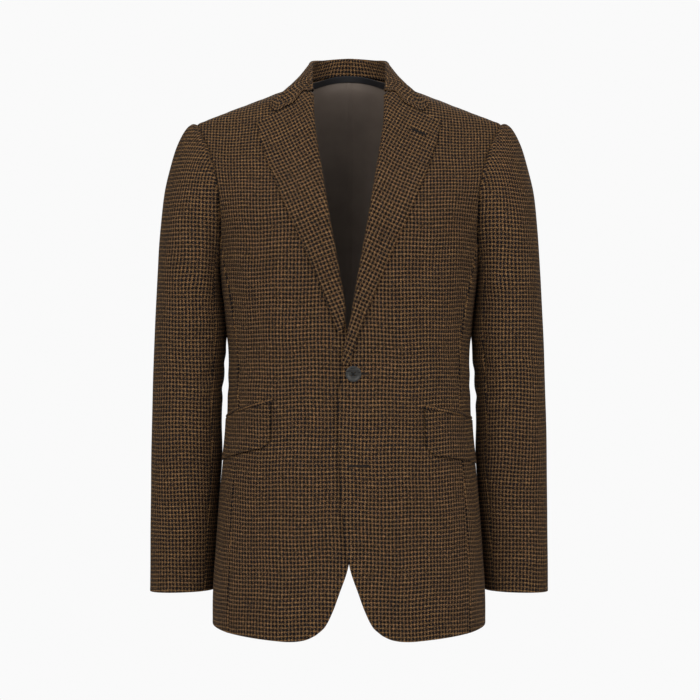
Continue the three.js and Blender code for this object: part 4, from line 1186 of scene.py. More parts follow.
def shell_faces(rows, columns):
    index = np.arange(rows * columns).reshape(rows, columns)
    a, b, c, d = index[:-1, :-1], index[:-1, 1:], index[1:, 1:], index[1:, :-1]
    outer = np.stack([a, b, c, d], axis=-1).reshape(-1, 4)
    inner = outer[:, ::-1] + rows * columns
    rim, under = [], rows * columns
    for line in (index[0], index[::-1, 0], index[-1, ::-1], index[:, -1]):
        for start, end in zip(line, line[1:]):
            rim.append((end, start, start + under, end + under))
    return outer, inner, np.array(rim)


def shell(node, skins, cloth, kinds, material, inside, step=4.5, relief=None, mirrored=False, facing=None):
    """A cloth piece: two fine skins joined round the edge, with its relief and its cloth coordinates."""
    outer, inner, cloth = refine([skins[0], skins[1], cloth], step)
    normal = grid_normals(outer)
    if float(np.sum(normal * (outer - inner))) < 0:
        normal = -normal
    distances = edge_distances(outer)
    lift, close = edge_relief(distances, kinds, cloth)
    shared = relief(outer, cloth) if relief else np.zeros(outer.shape[:2])
    thick = np.linalg.norm(outer - inner, axis=2)
    outer = outer + normal * (shared + lift - close)[..., None]
    below = np.minimum(thick, SHELL) - np.minimum(close, RIM["share"] * SHELL)
    inner = outer - normal * np.maximum(below - close * RIM["close"], RIM["least"])[..., None]
    if "head" in kinds.values():
        for line, share in enumerate(TUCK_SHARES):
            outer[line] += vec(-TUCK, 0, 0) * share
            inner[line] += vec(-TUCK, 0, 0) * share
    for side, kind in kinds.items():
        for skin in (outer, inner) if EDGE_KINDS[kind]["reach"] else ():
            widen(skin, side, EDGE_KINDS[kind]["reach"])
    if mirrored:
        outer, inner, cloth = outer * [-1, 1, 1], inner * [-1, 1, 1], cloth * [-1, 1]
    rows, columns = outer.shape[:2]
    faces_out, faces_in, rim = shell_faces(rows, columns)
    points = np.concatenate([outer.reshape(-1, 3), inner.reshape(-1, 3)])
    a, b, c = points[faces_out[:, 0]], points[faces_out[:, 1]], points[faces_out[:, 2]]
    under = points[faces_out[:, 0] + rows * columns]
    faces = np.concatenate([faces_out, faces_in, rim])
    if float(np.sum(np.cross(b - a, c - a) * (a - under))) < 0:
        faces = faces[:, ::-1]
    far = np.full((rows, columns), True)
    if facing:
        far = np.minimum.reduce([distances[side] for side in facing]) > FACING
    shown = np.zeros(len(faces), np.int32)
    shown[len(faces_out) : len(faces_out) + len(faces_in)] = far.reshape(-1)[faces_out].all(axis=1)
    both = np.concatenate([cloth.reshape(-1, 2), cloth.reshape(-1, 2)])
    piece = make_object(f"{node}_cloth", points, faces.tolist(), [material, inside], both, shown)
    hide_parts(node)
    declare(piece, cloth)
    return piece


def declare(piece, cloth):
    """States the cut: the box and the area of the cloth coordinates, which lie flat."""
    a, b, c, d = cloth[:-1, :-1], cloth[:-1, 1:], cloth[1:, 1:], cloth[1:, :-1]
    pairs = ((b - a, c - a), (c - a, d - a))
    halves = [p[..., 0] * q[..., 1] - p[..., 1] * q[..., 0] for p, q in pairs]
    area = sum(float(np.abs(half).sum()) for half in halves) / 2
    wide, tall = cloth.reshape(-1, 2).max(axis=0) - cloth.reshape(-1, 2).min(axis=0)
    words = piece.name.removesuffix("_cloth").split("_")
    side = words.pop() if words[-1] in ("left", "right") else None
    flat, area = (float(wide * MM), float(tall * MM)), min(area, 0.999 * wide * tall) * MM * MM
    print(f"cut of {piece.name}: {flat[0]:.3f} x {flat[1]:.3f} m, {area:.4f} m2")


def widen(grid, side, amount):
    """Pushes an edge outward along the cloth, so that sewn pieces meet."""
    across = grid.transpose(1, 0, 2)
    view = dict(bottom=grid, top=grid[::-1], start=across, end=across[::-1])[side]
    away = unit_rows(view[0] - view[3])
    for line, share in enumerate(WIDEN_SHARES):
        view[line] += away * amount * share


# Materials.


class Nodes:
    """Short words for the nodes of one material."""

    def __init__(self, name):
        self.material = bpy.data.materials.new(name)
        self.material.use_nodes = True
        self.tree = self.material.node_tree
        self.shader = self.tree.nodes["Principled BSDF"]

    def add(self, kind, inputs=(), **settings):
        node = self.tree.nodes.new(kind)
        for key, value in settings.items():
            setattr(node, key, value)
        for key, value in dict(inputs).items():
            self.put(node.inputs[key], value)
        return node

    def put(self, socket, value):
        if isinstance(value, bpy.types.NodeSocket):
            self.tree.links.new(value, socket)
        else:
            socket.default_value = value

    def maths(self, operation, *values):
        return self.add("ShaderNodeMath", dict(enumerate(values)), operation=operation).outputs[0]

    def mix(self, share, first, second, mode="MIX"):
        node = self.add("ShaderNodeMix", data_type="RGBA", blend_type=mode)
        for socket, value in ((node.inputs[0], share), (node.inputs[6], first), (node.inputs[7], second)):
            self.put(socket, value)
        return node.outputs[2]

    def noise(self, vector, scale, detail=2.0, rough=0.5):
        inputs = {"Vector": vector, "Scale": scale, "Detail": detail, "Roughness": rough}
        return self.add("ShaderNodeTexNoise", inputs).outputs[0]

    def ramp(self, value, low, high, start=0.0, end=1.0):
        inputs = {"Value": value, "From Min": low, "From Max": high, "To Min": start, "To Max": end}
        return self.add("ShaderNodeMapRange", inputs).outputs[0]

    def bump(self, height, distance, strength):
        inputs = {"Height": height, "Distance": distance, "Strength": strength}
        return self.add("ShaderNodeBump", inputs).outputs[0]

    def levels(self, base, value, low, high, start, end):
        """The colour multiplied by a grey that follows a value."""
        level = self.ramp(value, low, high, start, end)
        grey = self.add("ShaderNodeCombineColor", {0: level, 1: level, 2: level}).outputs[0]
        return self.mix(1.0, base, grey, "MULTIPLY")

    def cloth_place(self):
        """The cloth coordinates in metres, whole and as separate values."""
        place = self.add("ShaderNodeUVMap", uv_map="cloth").outputs[0]
        return place, self.add("ShaderNodeSeparateXYZ", {0: place}).outputs

    def dress(self, base, rough, bump, **constants):
        """Colour, roughness and relief of the shader, and its constant sockets by name."""
        for name, value in (("Base Color", base), ("Roughness", rough), ("Normal", bump)):
            self.put(self.shader.inputs[name], value)
        for name, value in constants.items():
            self.shader.inputs[name.replace("_", " ")].default_value = value
        return self.material


def colour(red, green, blue):
    return (red, green, blue, 1.0)


# Yarns and finishes, as linear colours.
TAN = colour(0.250, 0.139, 0.058)
RUST = colour(0.105, 0.052, 0.020)
NAVY = colour(0.0038, 0.0046, 0.0070)
UMBER = colour(0.009, 0.0065, 0.005)
SLATE = colour(0.026, 0.026, 0.029)
THREAD_MM = [CHECK[way] / CHECK["threads"] for way in ("across", "up")]


def tweed():
    """The small check: dark and light yarns by thread number, crossed in a twill."""
    n = Nodes("tweed")
    place, apart = n.cloth_place()
    threads = [n.maths("DIVIDE", apart[axis], THREAD_MM[axis] * MM) for axis in (0, 1)]
    sways = [n.noise(place, scale, 2.0, 0.6) for scale in (620.0, 480.0)]
    sways = [n.maths("MULTIPLY", n.maths("SUBTRACT", sway, 0.5), 2.6) for sway in sways]
    threads = [n.maths("ADD", thread, sway) for thread, sway in zip(threads, sways)]
    numbers = [n.maths("FLOOR", thread) for thread in threads]
    shares = [n.maths("FRACT", thread) for thread in threads]
    yarns = []
    for axis, number in enumerate(numbers):
        turn = n.maths("FLOORED_MODULO", number, float(CHECK["threads"]))
        dark = n.maths("LESS_THAN", turn, CHECK["dark"])
        seed = {"W": n.maths("ADD", number, 71.3 * axis)}
        wild = n.add("ShaderNodeTexWhiteNoise", seed, noise_dimensions="1D").outputs[0]
        light = n.mix(n.ramp(wild, 0.0, 1.0, 0.3, 0.8), RUST, TAN)
        deep = n.mix(n.ramp(wild, 0.3, 1.0), NAVY, UMBER)
        yarns.append(n.mix(dark, light, deep))
    twill = n.maths("FLOORED_MODULO", n.maths("ADD", numbers[0], numbers[1]), 4.0)
    warp_up = n.maths("LESS_THAN", twill, 1.5)
    # Yarn by yarn mottling, then the fibres, then slow blotches of the pressed cloth.
    fibres = n.noise(place, 2600.0, 3.0, 0.7)
    flecks = n.noise(place, 380.0, 1.5, 0.8)
    patches = n.noise(place, 34.0, 4.0, 0.6)
    base = n.levels(n.mix(warp_up, yarns[1], yarns[0]), fibres, 0.25, 0.75, 0.62, 1.38)
    base = n.levels(base, flecks, 0.34, 0.66, 0.35, 1.75)
    slate = n.maths("MULTIPLY", n.ramp(n.noise(place, 150.0, 3.0, 0.7), 0.52, 0.72), 0.34)
    base = n.levels(n.mix(slate, base, SLATE), patches, 0.3, 0.7, 0.90, 1.10)
    rounds = []
    for share in shares:
        centred = n.maths("SUBTRACT", n.maths("MULTIPLY", share, 2.0), 1.0)
        rounds.append(n.maths("SUBTRACT", 1.0, n.maths("MULTIPLY", centred, centred)))
    height = []
    for yarn, beside, seen in ((0, 1, warp_up), (1, 0, n.maths("SUBTRACT", 1.0, warp_up))):
        full = n.maths("ADD", 0.55, n.maths("MULTIPLY", rounds[beside], 0.25))
        height.append(n.maths("MULTIPLY", n.maths("MULTIPLY", rounds[yarn], full), seen))
    height = n.maths("ADD", n.maths("ADD", *height), n.maths("MULTIPLY", fibres, 0.35))
    return n.dress(
        base,
        n.ramp(fibres, 0.2, 0.8, 0.82, 0.98),
        n.bump(height, 0.00022, 0.8),
        Specular_IOR_Level=0.12,
        Sheen_Weight=0.03,
        Sheen_Roughness=0.6,
        Sheen_Tint=colour(0.70, 0.50, 0.34),
    )


def lining_cloth():
    n = Nodes("lining")
    place, apart = n.cloth_place()
    lean = n.maths("ADD", apart[0], n.maths("MULTIPLY", apart[1], 0.55))
    wale = n.maths("SINE", n.maths("MULTIPLY", lean, 2 * math.pi / 0.0007))
    fine, slow = n.noise(place, 1400.0), n.noise(place, 26.0, 3.0)
    dark, light = colour(0.142, 0.110, 0.088), colour(0.172, 0.134, 0.108)
    base = n.levels(n.mix(n.ramp(slow, 0.3, 0.7), dark, light), fine, 0.3, 0.7, 0.92, 1.08)
    height = n.maths("ADD", n.maths("MULTIPLY", wale, 0.5), fine)
    rough, bump = n.ramp(fine, 0.3, 0.7, 0.46, 0.6), n.bump(height, 0.00005, 0.6)
    return n.dress(base, rough, bump, Specular_IOR_Level=0.4, Sheen_Weight=0.1)


def strip_cloth():
    n = Nodes("strip")
    place, apart = n.cloth_place()
    ribs = n.maths("SINE", n.maths("MULTIPLY", apart[1], 2 * math.pi / 0.0008))
    fine = n.noise(place, 1800.0)
    base = n.mix(n.ramp(fine, 0.3, 0.7), colour(0.010, 0.010, 0.012), colour(0.024, 0.023, 0.026))
    return n.dress(base, n.ramp(fine, 0.3, 0.7, 0.4, 0.6), n.bump(n.maths("ADD", ribs, fine), 0.00006, 0.7))


def horn():
    n = Nodes("horn")
    place = n.add("ShaderNodeTexCoord").outputs["Object"]
    stretch = {"Vector": place, "Scale": (90.0, 90.0, 420.0), "Rotation": (0.4, 0.3, 0.2)}
    grain = n.noise(n.add("ShaderNodeMapping", stretch).outputs[0], 1.0, 4.0, 0.6)
    cloud = n.noise(place, 160.0)
    base = n.mix(n.ramp(grain, 0.35, 0.7), colour(0.013, 0.013, 0.013), colour(0.045, 0.043, 0.038))
    base = n.mix(n.ramp(cloud, 0.4, 0.8, 0.0, 0.6), base, colour(0.026, 0.025, 0.022))
    return n.dress(base, n.ramp(grain, 0.3, 0.7, 0.24, 0.38), n.bump(grain, 0.00006, 0.5))


def thread(name, low, high):
    n = Nodes(name)
    fibre = n.noise(n.add("ShaderNodeTexCoord").outputs["Object"], 2400.0, 3.0, 0.7)
    base, rough = n.mix(n.ramp(fibre, 0.3, 0.7), low, high), n.ramp(fibre, 0.3, 0.7, 0.6, 0.85)
    return n.dress(base, rough, n.bump(fibre, 0.0001, 0.8), Specular_IOR_Level=0.15)


TWEED = tweed()
LINING_SATIN = lining_cloth()
STRIP_TAPE = strip_cloth()
HORN = horn()
HOLE_THREAD = thread("hole_thread", colour(0.007, 0.006, 0.006), colour(0.026, 0.020, 0.016))
# Near-black for the sheet in each buttonhole's slit: painted shade of the gap in the cloth.
SLIT_PAINTED_SHADE = thread("slit_dark", colour(0.004, 0.0035, 0.003), colour(0.010, 0.008, 0.007))
BUTTON_THREAD = thread("button_thread", colour(0.006, 0.0055, 0.005), colour(0.018, 0.016, 0.014))


# Reliefs of the panels. Points are on the wearer's left, before any piece is mirrored.


def dart_relief(points, side):
    spec, x, z = DART[side], points[..., 0], points[..., 2]
    length = spec["top"] - spec["bottom"]
    share = np.clip((spec["top"] - z) / length, 0, 1)
    inside = np.clip((spec["top"] - z) / 18, 0, 1) * np.clip((z - spec["bottom"]) / 6, 0, 1)
    far = x - spec["x"]
    trough = -DART_SHAPE["deep"] * bell(far, DART_SHAPE["wide"])
    swell = DART_SHAPE["swell"] * bell(far, DART_SHAPE["swell_wide"])
    return (trough + swell) * inside * (0.6 + 0.4 * np.sin(math.pi * share))


def outline_distance(points, line):
    """Distance from each point to a broken line, in x and z."""
    nearest = np.full(points.shape[:2], 1e3)
    for start, end in zip(line, line[1:]):
        way = end - start
        x, z = points[..., 0] - start[0], points[..., 2] - start[1]
        at = np.clip((x * way[0] + z * way[1]) / (way @ way), 0, 1)
        nearest = np.minimum(nearest, np.hypot(x - at * way[0], z - at * way[1]))
    return nearest


def flap_groove(points, side):
    """The pressed line round the free edges of the flap, where the front lies lower."""
    outer = body_skins(flap_chart(POCKET[side]), FLAP["high"], 0)[0]
    edge = np.concatenate([outer[::-1, 0], outer[0, 1:]])[:, [0, 2]]
    centre = outer.reshape(-1, 3).mean(axis=0)[[0, 2]]
    edge = edge + unit_rows(edge - centre) * FLAP_LINE["beyond"]
    return -FLAP_LINE["deep"] * bell(outline_distance(points, edge), FLAP_LINE["wide"])


def turned_groove(points, under):
    """The front lies a little lower just outside the edges of the lapel and of the collar."""
    chart = np.array(lapel_chart(under))
    lapel = np.concatenate([chart[:, -1], chart[-1, ::-1]])
    steps = np.hypot(*np.diff(lapel, axis=0).T)
    lapel = lapel[np.concatenate([[True], steps > 0.05])]
    inside = chart.reshape(-1, 2).mean(axis=0)
    lapel = lapel + unit_rows(lapel - inside) * LAPEL_LINE["beyond"]
    leaf = collar_skins()[0][-COLLAR_LINE["stations"] :, -1][:, [0, 2]]
    leaf = leaf - [0, COLLAR_LINE["beyond"]]
    lines = [(lapel, LAPEL_LINE), (leaf, COLLAR_LINE)]
    return -sum(row["deep"] * bell(outline_distance(points, line), row["wide"]) for line, row in lines)


def front_relief(side):
    def relief(points, cloth):
        made = creases(points[..., 0], points[..., 2], FRONT_CREASES[side], "x")
        seed = 1.1 if side == "left" else 4.3
        made = made + unevenness(cloth, seed) + dart_relief(points, side) + flap_groove(points, side)
        return made + turned_groove(points, side == "right")

    return relief


def back_relief(points, cloth):
    return creases(points[..., 0], points[..., 2], BACK_CREASES, "x") + unevenness(cloth, 2.7)


def hang_close(points):
    """Above the waist the side and the sleeve swell toward each other."""
    z = points[..., 2]
    rise, fall = (z - CLOSE["low"]) / CLOSE["rise"], (CLOSE["high"] - z) / CLOSE["fall"]
    return smooth_grid(rise) * smooth_grid(fall)


def smooth_grid(values):
    t = np.clip(values, 0, 1)
    return t * t * (3 - 2 * t)


def side_relief(points, cloth):
    thetas = np.degrees(np.arctan2(points[..., 0], SIDE_Y - points[..., 1]))
    made = creases(thetas * 3.0, points[..., 2], SIDE_CREASES, "theta", 3.0) + unevenness(cloth, 5.9)
    return made + CLOSE["side"] * hang_close(points)


def sleeve_relief(side, shares, column_knots):
    def relief(points, cloth):
        across = np.interp(edge_distances(points)["start"][points.shape[0] // 2], column_knots, shares)
        around = np.repeat((across % 1.0)[None, :], points.shape[0], axis=0) * SLEEVE_ROUND_MM
        seed = 0.6 if side == "left" else 3.2
        made = creases(around, points[..., 2], SLEEVE_CREASES[side], "share", SLEEVE_ROUND_MM)
        toward_body = np.clip(-np.cos(2 * math.pi * around / SLEEVE_ROUND_MM), 0, 1)
        return made + unevenness(cloth, seed) + CLOSE["sleeve"] * hang_close(points) * toward_body

    return relief


def calm_relief(seed, amount=0.5):
    return lambda points, cloth: unevenness(cloth, seed) * amount


# Cloth pieces.


def cut_dart(cloth, chart, side):
    """Beyond the dart the check steps aside by what the dart takes in."""
    spec = DART[side]
    moved = cloth.copy()
    for place in np.ndindex(chart.shape[:2]):
        theta, z = chart[place]
        x = half_width(z) * math.sin(radians(theta))
        share = clamp01((z - spec["bottom"]) / (spec["top"] - spec["bottom"]))
        moved[place][0] += DART_SHAPE["intake"] * math.sin(math.pi * share) * smooth((x - spec["x"] + 3) / 6)
    return moved


# Edges, spacing of the fine grid, edges with turned-in cloth, seeds of left and right, check's start.
PANELS = table(
    "part kinds step facing seeds shift",
    ("front", "fold hole hem seam", 2.2, ("start", "bottom"), (1.9, 0.4), (0, 0)),
    ("side", "seam seam hem seam", 4.5, ("bottom",), (2.2, 5.1), (1.7, 0.9)),
    ("back", "seam seam hem seam", 4.5, ("bottom",), (3.3, 0.2), (0.4, 2.1)),
)


def build_body():
    charts = dict(front=(front_chart, front_cloth), side=(side_chart, side_cloth), back=(back_chart, back_cloth))
    reliefs = dict(side=side_relief, back=back_relief)
    for panel in PANELS:
        part, kinds, (make, place) = panel["part"], edges(panel["kinds"]), charts[panel["part"]]
        chart = make()
        skins, laid = body_skins(chart, 0, -CLOTH), chart_cloth(chart, place) + panel["shift"]
        for side, seed in zip(SIDES, panel["seeds"]):
            under, cloth, relief = side == "right", laid, reliefs.get(part) or front_relief(side)
            if part == "front":
                cloth = cut_dart(laid, chart, side)
                skins = [sink(skin) for skin in skins] if under else skins
            cloth, step, facing = wander(cloth, seed), panel["step"], panel["facing"]
            shell(f"{part}_{side}", skins, cloth, kinds, TWEED, LINING_SATIN, step, relief, under, facing)


def build_sleeves():
    around = len(ROUND) - 1
    front, back = SEAM_COLUMN["sleeve_front"], SEAM_COLUMN["sleeve_back"]
    kinds = edges("seam seam head hem")
    spans = (("top", back - around, front, [0, 1.2]), ("under", front, back, [2.6, 0.3]))
    for part, first, last, shift in spans:
        outer, inner, shares = sleeve_panel(first, last)
        cloth = sleeve_cloth(outer) + shift
        steps = np.linalg.norm(np.diff(outer[outer.shape[0] // 2], axis=0), axis=1)
        knots = np.concatenate([[0.0], np.cumsum(steps)])
        for side, seed in zip(SIDES, (0.8, 2.9)):
            relief, own = sleeve_relief(side, shares, knots), wander(cloth, seed)
            node, skins, under = f"sleeve_{part}_{side}", (outer, inner), side == "right"
            shell(node, skins, own, kinds, TWEED, LINING_SATIN, 4.0, relief, under, ("top",))


def lapel_cloth(chart, outer):
    flat = chart_cloth(np.array([[(front_theta(x, z), z) for x, z in row] for row in chart]), front_cloth)
    turns = len(FOLD_TURNS)
    made = np.zeros((*outer.shape[:2], 2))
    made[:, turns:] = flat
    for column in range(turns - 1, -1, -1):
        length = np.linalg.norm(outer[:, column] - outer[:, column + 1], axis=1)
        made[:, column] = made[:, column + 1] - np.stack([length, length * 0], axis=1)
    return turned(made, LAPEL_TURN)


def build_turned():
    for side in SIDES:
        under = side == "right"
        outer, inner, chart = lapel_skins(under)
        cloth = wander(lapel_cloth(chart, outer), 1.2 if under else 3.7)
        kinds, relief = edges("plain fold plain seam"), calm_relief(3.1 + under)
        shell(f"lapel_{side}", (outer, inner), cloth, kinds, TWEED, TWEED, 3.0, relief, under)
    skins = collar_skins()
    cloth = grid_cloth(skins[0])
    cloth[..., 1] -= cloth[len(cloth) // 2, 0, 1]
    cloth = wander(cloth[..., ::-1], 0.9)
    shell("collar", skins, cloth, edges("plain fold fold fold"), TWEED, TWEED, 2.4, calm_relief(0.7))


def build_pockets():
    for side in SIDES:
        spec, under = POCKET[side], side == "right"
        charts = dict(flap=flap_chart(spec), jet=jet_chart(spec))
        for part, high, thick in (("flap", FLAP["high"], 1.6), ("jet", JET["high"], 1.1)):
            skins = body_skins(charts[part], high, high - thick)
            skins = [sink(skin) for skin in skins] if under else skins
            if part == "jet":
                cloth, kinds = turned(grid_cloth(skins[0]), 4.0), edges("plain plain fold seam")
            else:
                cloth = wander(chart_cloth(charts[part], front_cloth) + [0.5, 0.4], 0.4 if under else 1.9)
                kinds = edges("fold fold fold plain")
            shell(f"{part}_{side}", skins, cloth, kinds, TWEED, TWEED, 3.0, calm_relief(2.3), under)


# Lining and strip.


def inside_back(high, low):
    """Both halves of the back's chart, moved inside its wall; the middle column lies on the centre line."""
    outer, inner = body_skins(back_chart(), high, low)
    made = []
    for half in (outer, inner):
        middle = half[:, :1] * [0, 1, 1]
        other = half[:, 1:][:, ::-1] * [-1, 1, 1]
        made.append(np.concatenate([other, middle, half[:, 1:]], axis=1))
    return made


def lining_relief(points, cloth):
    """A centre seam with a soft fold beside it."""
    x = points[..., 0]
    seam = -1.5 * bell(x, 1.3) + 1.1 * bell(x - 3.4, 2.2)
    folds = 0.8 * bell(x - 27 - 0.02 * points[..., 2], 9) - 0.6 * bell(x + 30, 11)
    return -seam * 0.8 - folds * np.clip((18 - points[..., 2]) / 60, 0.2, 1)


def build_inside():
    half, kinds = len(BACK_COLUMNS) - 1, edges("plain plain plain plain")

    def middle(count):
        return slice(half - count + 1, half + count)

    rows, columns = slice(LINING_AREA["first_row"], None), middle(LINING_AREA["columns"])
    skins = inside_back(-LINING_AREA["inside"], -LINING_AREA["inside"] - LINING)
    outer, inner = (skin[rows, columns] for skin in skins)
    cloth, satin = grid_cloth(outer), (LINING_SATIN, LINING_SATIN)
    lining = shell("back_lining", (inner, outer), cloth, kinds, *satin, 3.0, lining_relief)
    outer, inner = inside_back(0, -1)
    columns = middle(STRIP["columns"])
    under, top, inward = outer[-2, columns], outer[-1, columns], (inner - outer)[-2, columns]
    inside = LINING_AREA["inside"] + LINING + STRIP["clear"]
    skins = []
    for depth in (inside + STRIP["thick"], inside):
        ends = [lerp(under, top, share) + inward * depth for share in (STRIP["low"], STRIP["high"])]
        skins.append(np.array(ends))
    strip = shell("neck_strip", skins, grid_cloth(skins[0]), kinds, STRIP_TAPE, STRIP_TAPE, 1.2)


# Buttons and buttonholes.


def frame_at(x, z, drop):
    """Middle, across, up and outward of a place on the left front, or on the right one where it is sunk."""
    normal = panel_normal(x, z)
    at = panel_skin(x, z) + vec(0, drop, 0)
    across = unit(np.cross(vec(0, 0, 1), normal))
    return at, across, np.cross(normal, across), normal


def lathe(profile, corners):
    points, faces = [], []
    for radius, height in profile:
        for corner in range(corners):
            angle = 2 * math.pi * corner / corners
            points.append((radius * math.cos(angle), radius * math.sin(angle), height))
    for ring in range(len(profile) - 1):
        for corner in range(corners):
            a, b = ring * corners + corner, ring * corners + (corner + 1) % corners
            faces.append((a, b, b + corners, a + corners))
    faces.append(tuple(range(corners))[::-1])
    faces.append(tuple(range((len(profile) - 1) * corners, len(profile) * corners)))
    return points, faces


def button(name, node, spec, drop):
    """A turned horn button with a rounded rim, a dished well and four drilled holes."""
    radius, thick = spec.get("radius", BUTTON["radius"]), spec.get("thick", BUTTON["thick"])
    stand, edge, well = spec.get("stand", BUTTON["stand"]), BUTTON["edge"], BUTTON["well"]
    profile = [(radius - PROFILE["foot"], 0.0), (radius - edge, PROFILE["lip"])]
    for a in np.linspace(0.3, 1.5, 5):
        profile.append((radius - edge + edge * math.sin(a), edge + 0.1 - edge * math.cos(a)))
    rim, high = PROFILE["rim"], PROFILE["crown"]
    crown = thick - high
    for a in np.linspace(0.0, math.pi, 11):
        profile.append((radius - rim + rim * math.cos(a), crown + high * math.sin(a)))
    floor = thick - BUTTON["well_deep"] - PROFILE["dish"]
    for share in (0.0, 0.25, 0.5, 0.75, 1.0):
        across = lerp(radius - PROFILE["shoulder"], well - high, share)
        profile.append((across, lerp(crown, floor, smooth(share))))
    for across in (5.0, 3.6, 2.0, 0.6):
        profile.append((across, floor - PROFILE["hollow"] * (1 - (across / well) ** 2)))
    points, faces = lathe(profile, BUTTON_CORNERS)
    at, across, up, normal = frame_at(spec["x"], spec["z"], drop)
    base = at + normal * stand

    def world(values):
        return [base + across * p[0] + up * p[1] + normal * p[2] for p in values]

    body = make_object(name, world(points), faces, [HORN])
    drills = []
    for side_x in (-1, 1):
        for side_y in (-1, 1):
            drill, ends = lathe([(BUTTON["hole"], -2.0), (BUTTON["hole"], thick + 2.0)], HOLE_CORNERS)
            aside, along = side_x * BUTTON["apart"], side_y * BUTTON["apart"]
            moved = [(p[0] + aside, p[1] + along, p[2]) for p in drill]
            offset = sum(len(d[0]) for d in drills)
            drills.append((world(moved), [tuple(i + offset for i in face) for face in ends]))
    tool_points = [p for d in drills for p in d[0]]
    tool = make_object(name + "_drill", tool_points, [f for d in drills for f in d[1]], [HORN])
    cut = body.modifiers.new("holes", "BOOLEAN")
    cut.operation, cut.object, cut.solver = "DIFFERENCE", tool, "EXACT"
    bpy.context.view_layer.update()
    made = bpy.data.meshes.new_from_object(body.evaluated_get(bpy.context.evaluated_depsgraph_get()))
    body.modifiers.clear()
    body.data = made
    bpy.data.objects.remove(tool)
    flat = np.array([polygon.area > FLAT_FACE for polygon in made.polygons])
    made.polygons.foreach_set("use_smooth", np.logical_not(flat))
    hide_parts(node)
    strands = []
    top = floor + 0.25
    for cross_way in (-1, 1):
        for strand in STITCH["beside"]:
            line = []
            for t in np.linspace(-1, 1, 13):
                reach = BUTTON["apart"] * t
                lift = top + STITCH["rise"] * (1 - abs(t) ** 3.0)
                lift += (STITCH["over"] if cross_way > 0 else 0.0) * (1 - t * t)
                end = max(0, abs(t) - STITCH["dive_from"]) / (1 - STITCH["dive_from"])
                lift -= STITCH["dive"] * end
                aside = strand * (1 - 0.35 * abs(t)) * 0.707
                line.append((reach - aside * cross_way, cross_way * reach + aside, lift))
            strands.append(world(line))
    tubes(name + "_thread", strands, STITCH["radius"], BUTTON_THREAD)


def tubes(name, runs, radius, material, corners=8, beads=None, closed=False):
    """Round threads along runs of points; beads make the thread swell and shrink along its way."""
    points, faces = [], []
    for run in runs:
        run = np.array(run, float)
        count = len(run)
        ahead = np.roll(run, -1, axis=0) - np.roll(run, 1, axis=0) if closed else np.gradient(run, axis=0)
        guide = unit(np.cross(ahead[0], ahead[count // 3] + vec(0.01, 0.02, 0.03)))
        first = len(points)
        for k in range(count):
            along = unit(ahead[k])
            side = unit(guide - along * (guide @ along))
            other = np.cross(along, side)
            swell = 1.0 if beads is None else 1.0 + beads * (k % 2)
            for corner in range(corners):
                angle = 2 * math.pi * corner / corners
                points.append(run[k] + (side * math.cos(angle) + other * math.sin(angle)) * radius * swell)
        for k in range(count if closed else count - 1):
            for corner in range(corners):
                here, ahead_ring = first + k * corners, first + (k + 1) % count * corners
                beside = (corner + 1) % corners
                faces.append((here + corner, here + beside, ahead_ring + beside, ahead_ring + corner))
        if not closed:
            faces.append(tuple(range(first, first + corners))[::-1])
            faces.append(tuple(range(first + (count - 1) * corners, first + count * corners)))
    make_object(name, points, faces, [material])


def buttonhole(name, start, end, high, wide=1.5, cord=0.62):
    """A worked buttonhole: a corded ring of thread round a slit, lying on the cloth; the slit is a near-black
    sheet of painted shade standing for the gap.
    """
    length = math.hypot(end[0] - start[0], end[1] - start[1])
    way = vec((end[0] - start[0]) / length, (end[1] - start[1]) / length)
    over = vec(-way[1], way[0])
    stitch = HOLE_STITCH

    def lay(along, aside, lift):
        x, z = vec(*start) + way * along + over * aside
        return panel_skin(x, z) + panel_normal(x, z) * (high + lift)

    count = int(length / stitch["pitch"])
    ring = [lay(length * k / count, wide / 2, stitch["high"]) for k in range(count + 1)]
    for angle in np.linspace(math.pi / 2, -math.pi / 2, 7)[1:-1]:
        along, aside = length + wide * 0.8 * math.cos(angle), wide * 0.75 * math.sin(angle)
        ring.append(lay(along, aside, stitch["high"]))
    ring += [lay(length * (1 - k / count), -wide / 2, stitch["high"]) for k in range(count + 1)]
    for angle in np.linspace(-math.pi / 2, -3 * math.pi / 2, 5)[1:-1]:
        ring.append(lay(wide * 0.5 * math.cos(angle), wide * 0.5 * math.sin(angle), stitch["high"]))
    tubes(name, [ring], cord, HOLE_THREAD, 8, 0.28, True)
    # The slit: a near-black sheet between the cords, painted shade standing for the gap in the cloth.
    steps, points, faces = stitch["slit_steps"], [], []
    for lift in (stitch["slit_top"], stitch["slit_low"]):
        for k in range(steps + 1):
            points += [lay(length * k / steps, aside, lift) for aside in (-wide / 2, wide / 2)]
    under = 2 * (steps + 1)
    for k in range(steps):
        a, b, c, d = 2 * k, 2 * k + 1, 2 * k + 3, 2 * k + 2
        faces += [(a, b, c, d), (a + under, d + under, c + under, b + under)]
        faces += [(a, d, d + under, a + under), (c, b, b + under, c + under)]
    faces += [(1, 0, under, under + 1), (under - 2, under - 1, 2 * under - 1, 2 * under - 2)]
    make_object(name + "_slit", points, faces, [SLIT_PAINTED_SHADE])


def build_closures():
    button("button_upper_horn", "button_upper", UPPER_BUTTON, 0.0)
    button("button_lower_horn", "button_lower", LOWER_BUTTON, LAP["drop"])
    buttonhole("buttonhole_lower", (-1.5, -526.9), (25.6, -526.0), 0.1)
    buttonhole("buttonhole_upper", (-0.5, -402.0), (25.0, -401.6), 0.1)
    buttonhole("buttonhole_lapel", (86.0, -66.0), (104.5, -73.6), TURN["edge"] + 0.15, 1.3, 0.5)


# Stage, light and camera.


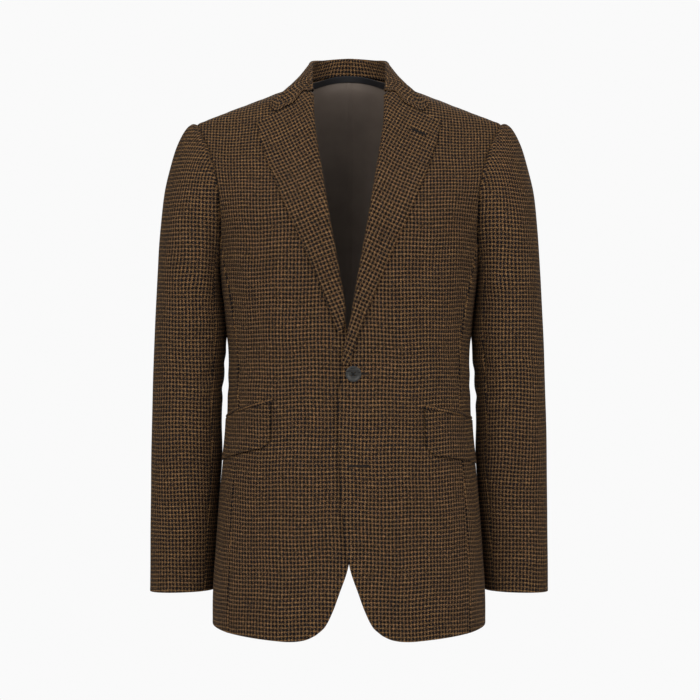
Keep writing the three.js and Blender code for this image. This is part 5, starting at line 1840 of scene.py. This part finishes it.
def build_stage():
    points, faces = lathe([(FLOOR_RADIUS, -0.02), (FLOOR_RADIUS, 0.0)], 96)
    mesh = bpy.data.meshes.new("floor")
    mesh.from_pydata([(x, y, z + FLOOR_Z) for x, y, z in points], [], faces)
    floor = bpy.data.objects.new("floor", mesh)
    bpy.context.scene.collection.objects.link(floor)
    n = Nodes("floor")
    place = n.add("ShaderNodeTexCoord").outputs["Object"]
    grain = n.noise(place, 40.0, 3.0)
    base = n.mix(n.ramp(grain, 0.3, 0.7), colour(0.80, 0.80, 0.79), colour(0.83, 0.83, 0.82))
    n.put(n.shader.inputs["Base Color"], base)
    n.shader.inputs["Roughness"].default_value = 0.8
    mesh.materials.append(n.material)


def area_light(name, place, target, size, power):
    data = bpy.data.lights.new(name, "AREA")
    data.shape, data.size, data.size_y = "RECTANGLE", size[0], size[1]
    data.energy = power
    lamp = bpy.data.objects.new(name, data)
    lamp.location = place
    away = np.array(target, float) - np.array(place, float)
    lamp.rotation_euler = Vector(away).to_track_quat("-Z", "Y").to_euler()
    bpy.context.scene.collection.objects.link(lamp)


def build_light():
    world = bpy.data.worlds.new("studio")
    bpy.context.scene.world = world
    world.use_nodes = True
    tree = world.node_tree
    ground = tree.nodes["Background"]
    path = tree.nodes.new("ShaderNodeLightPath")
    level = tree.nodes.new("ShaderNodeMapRange")
    level.inputs["To Min"].default_value = WORLD_LIGHT
    level.inputs["To Max"].default_value = WORLD_SEEN
    tree.links.new(path.outputs["Is Camera Ray"], level.inputs["Value"])
    tree.links.new(level.outputs[0], ground.inputs["Strength"])
    ground.inputs["Color"].default_value = (1.0, 1.0, 1.0, 1.0)
    middle = (0.0, 0.0, -0.36)
    area_light("key", (-1.5, -2.3, 1.5), middle, (2.6, 2.2), 57.0)
    area_light("fill", (1.9, -2.5, 0.9), middle, (2.6, 2.4), 46.0)
    area_light("behind", (0.3, 2.6, 1.7), middle, (2.6, 2.0), 62.0)
    area_light("top", (0.0, -0.5, 2.2), middle, (1.8, 1.2), 8.0)


def build_camera():
    data = bpy.data.cameras.new("camera")
    data.lens, data.sensor_width = CAMERA["lens"], CAMERA["sensor"]
    camera = bpy.data.objects.new("camera", data)
    camera.location = (CAMERA["x"], -CAMERA["away"], CAMERA["z"])
    camera.rotation_euler = (math.pi / 2, 0.0, 0.0)
    bpy.context.scene.collection.objects.link(camera)
    bpy.context.scene.camera = camera
    bpy.context.scene.view_settings.view_transform = "Standard"


build_camera()
build_body()
build_sleeves()
build_turned()
build_pockets()
build_inside()
build_closures()
build_stage()
build_light()
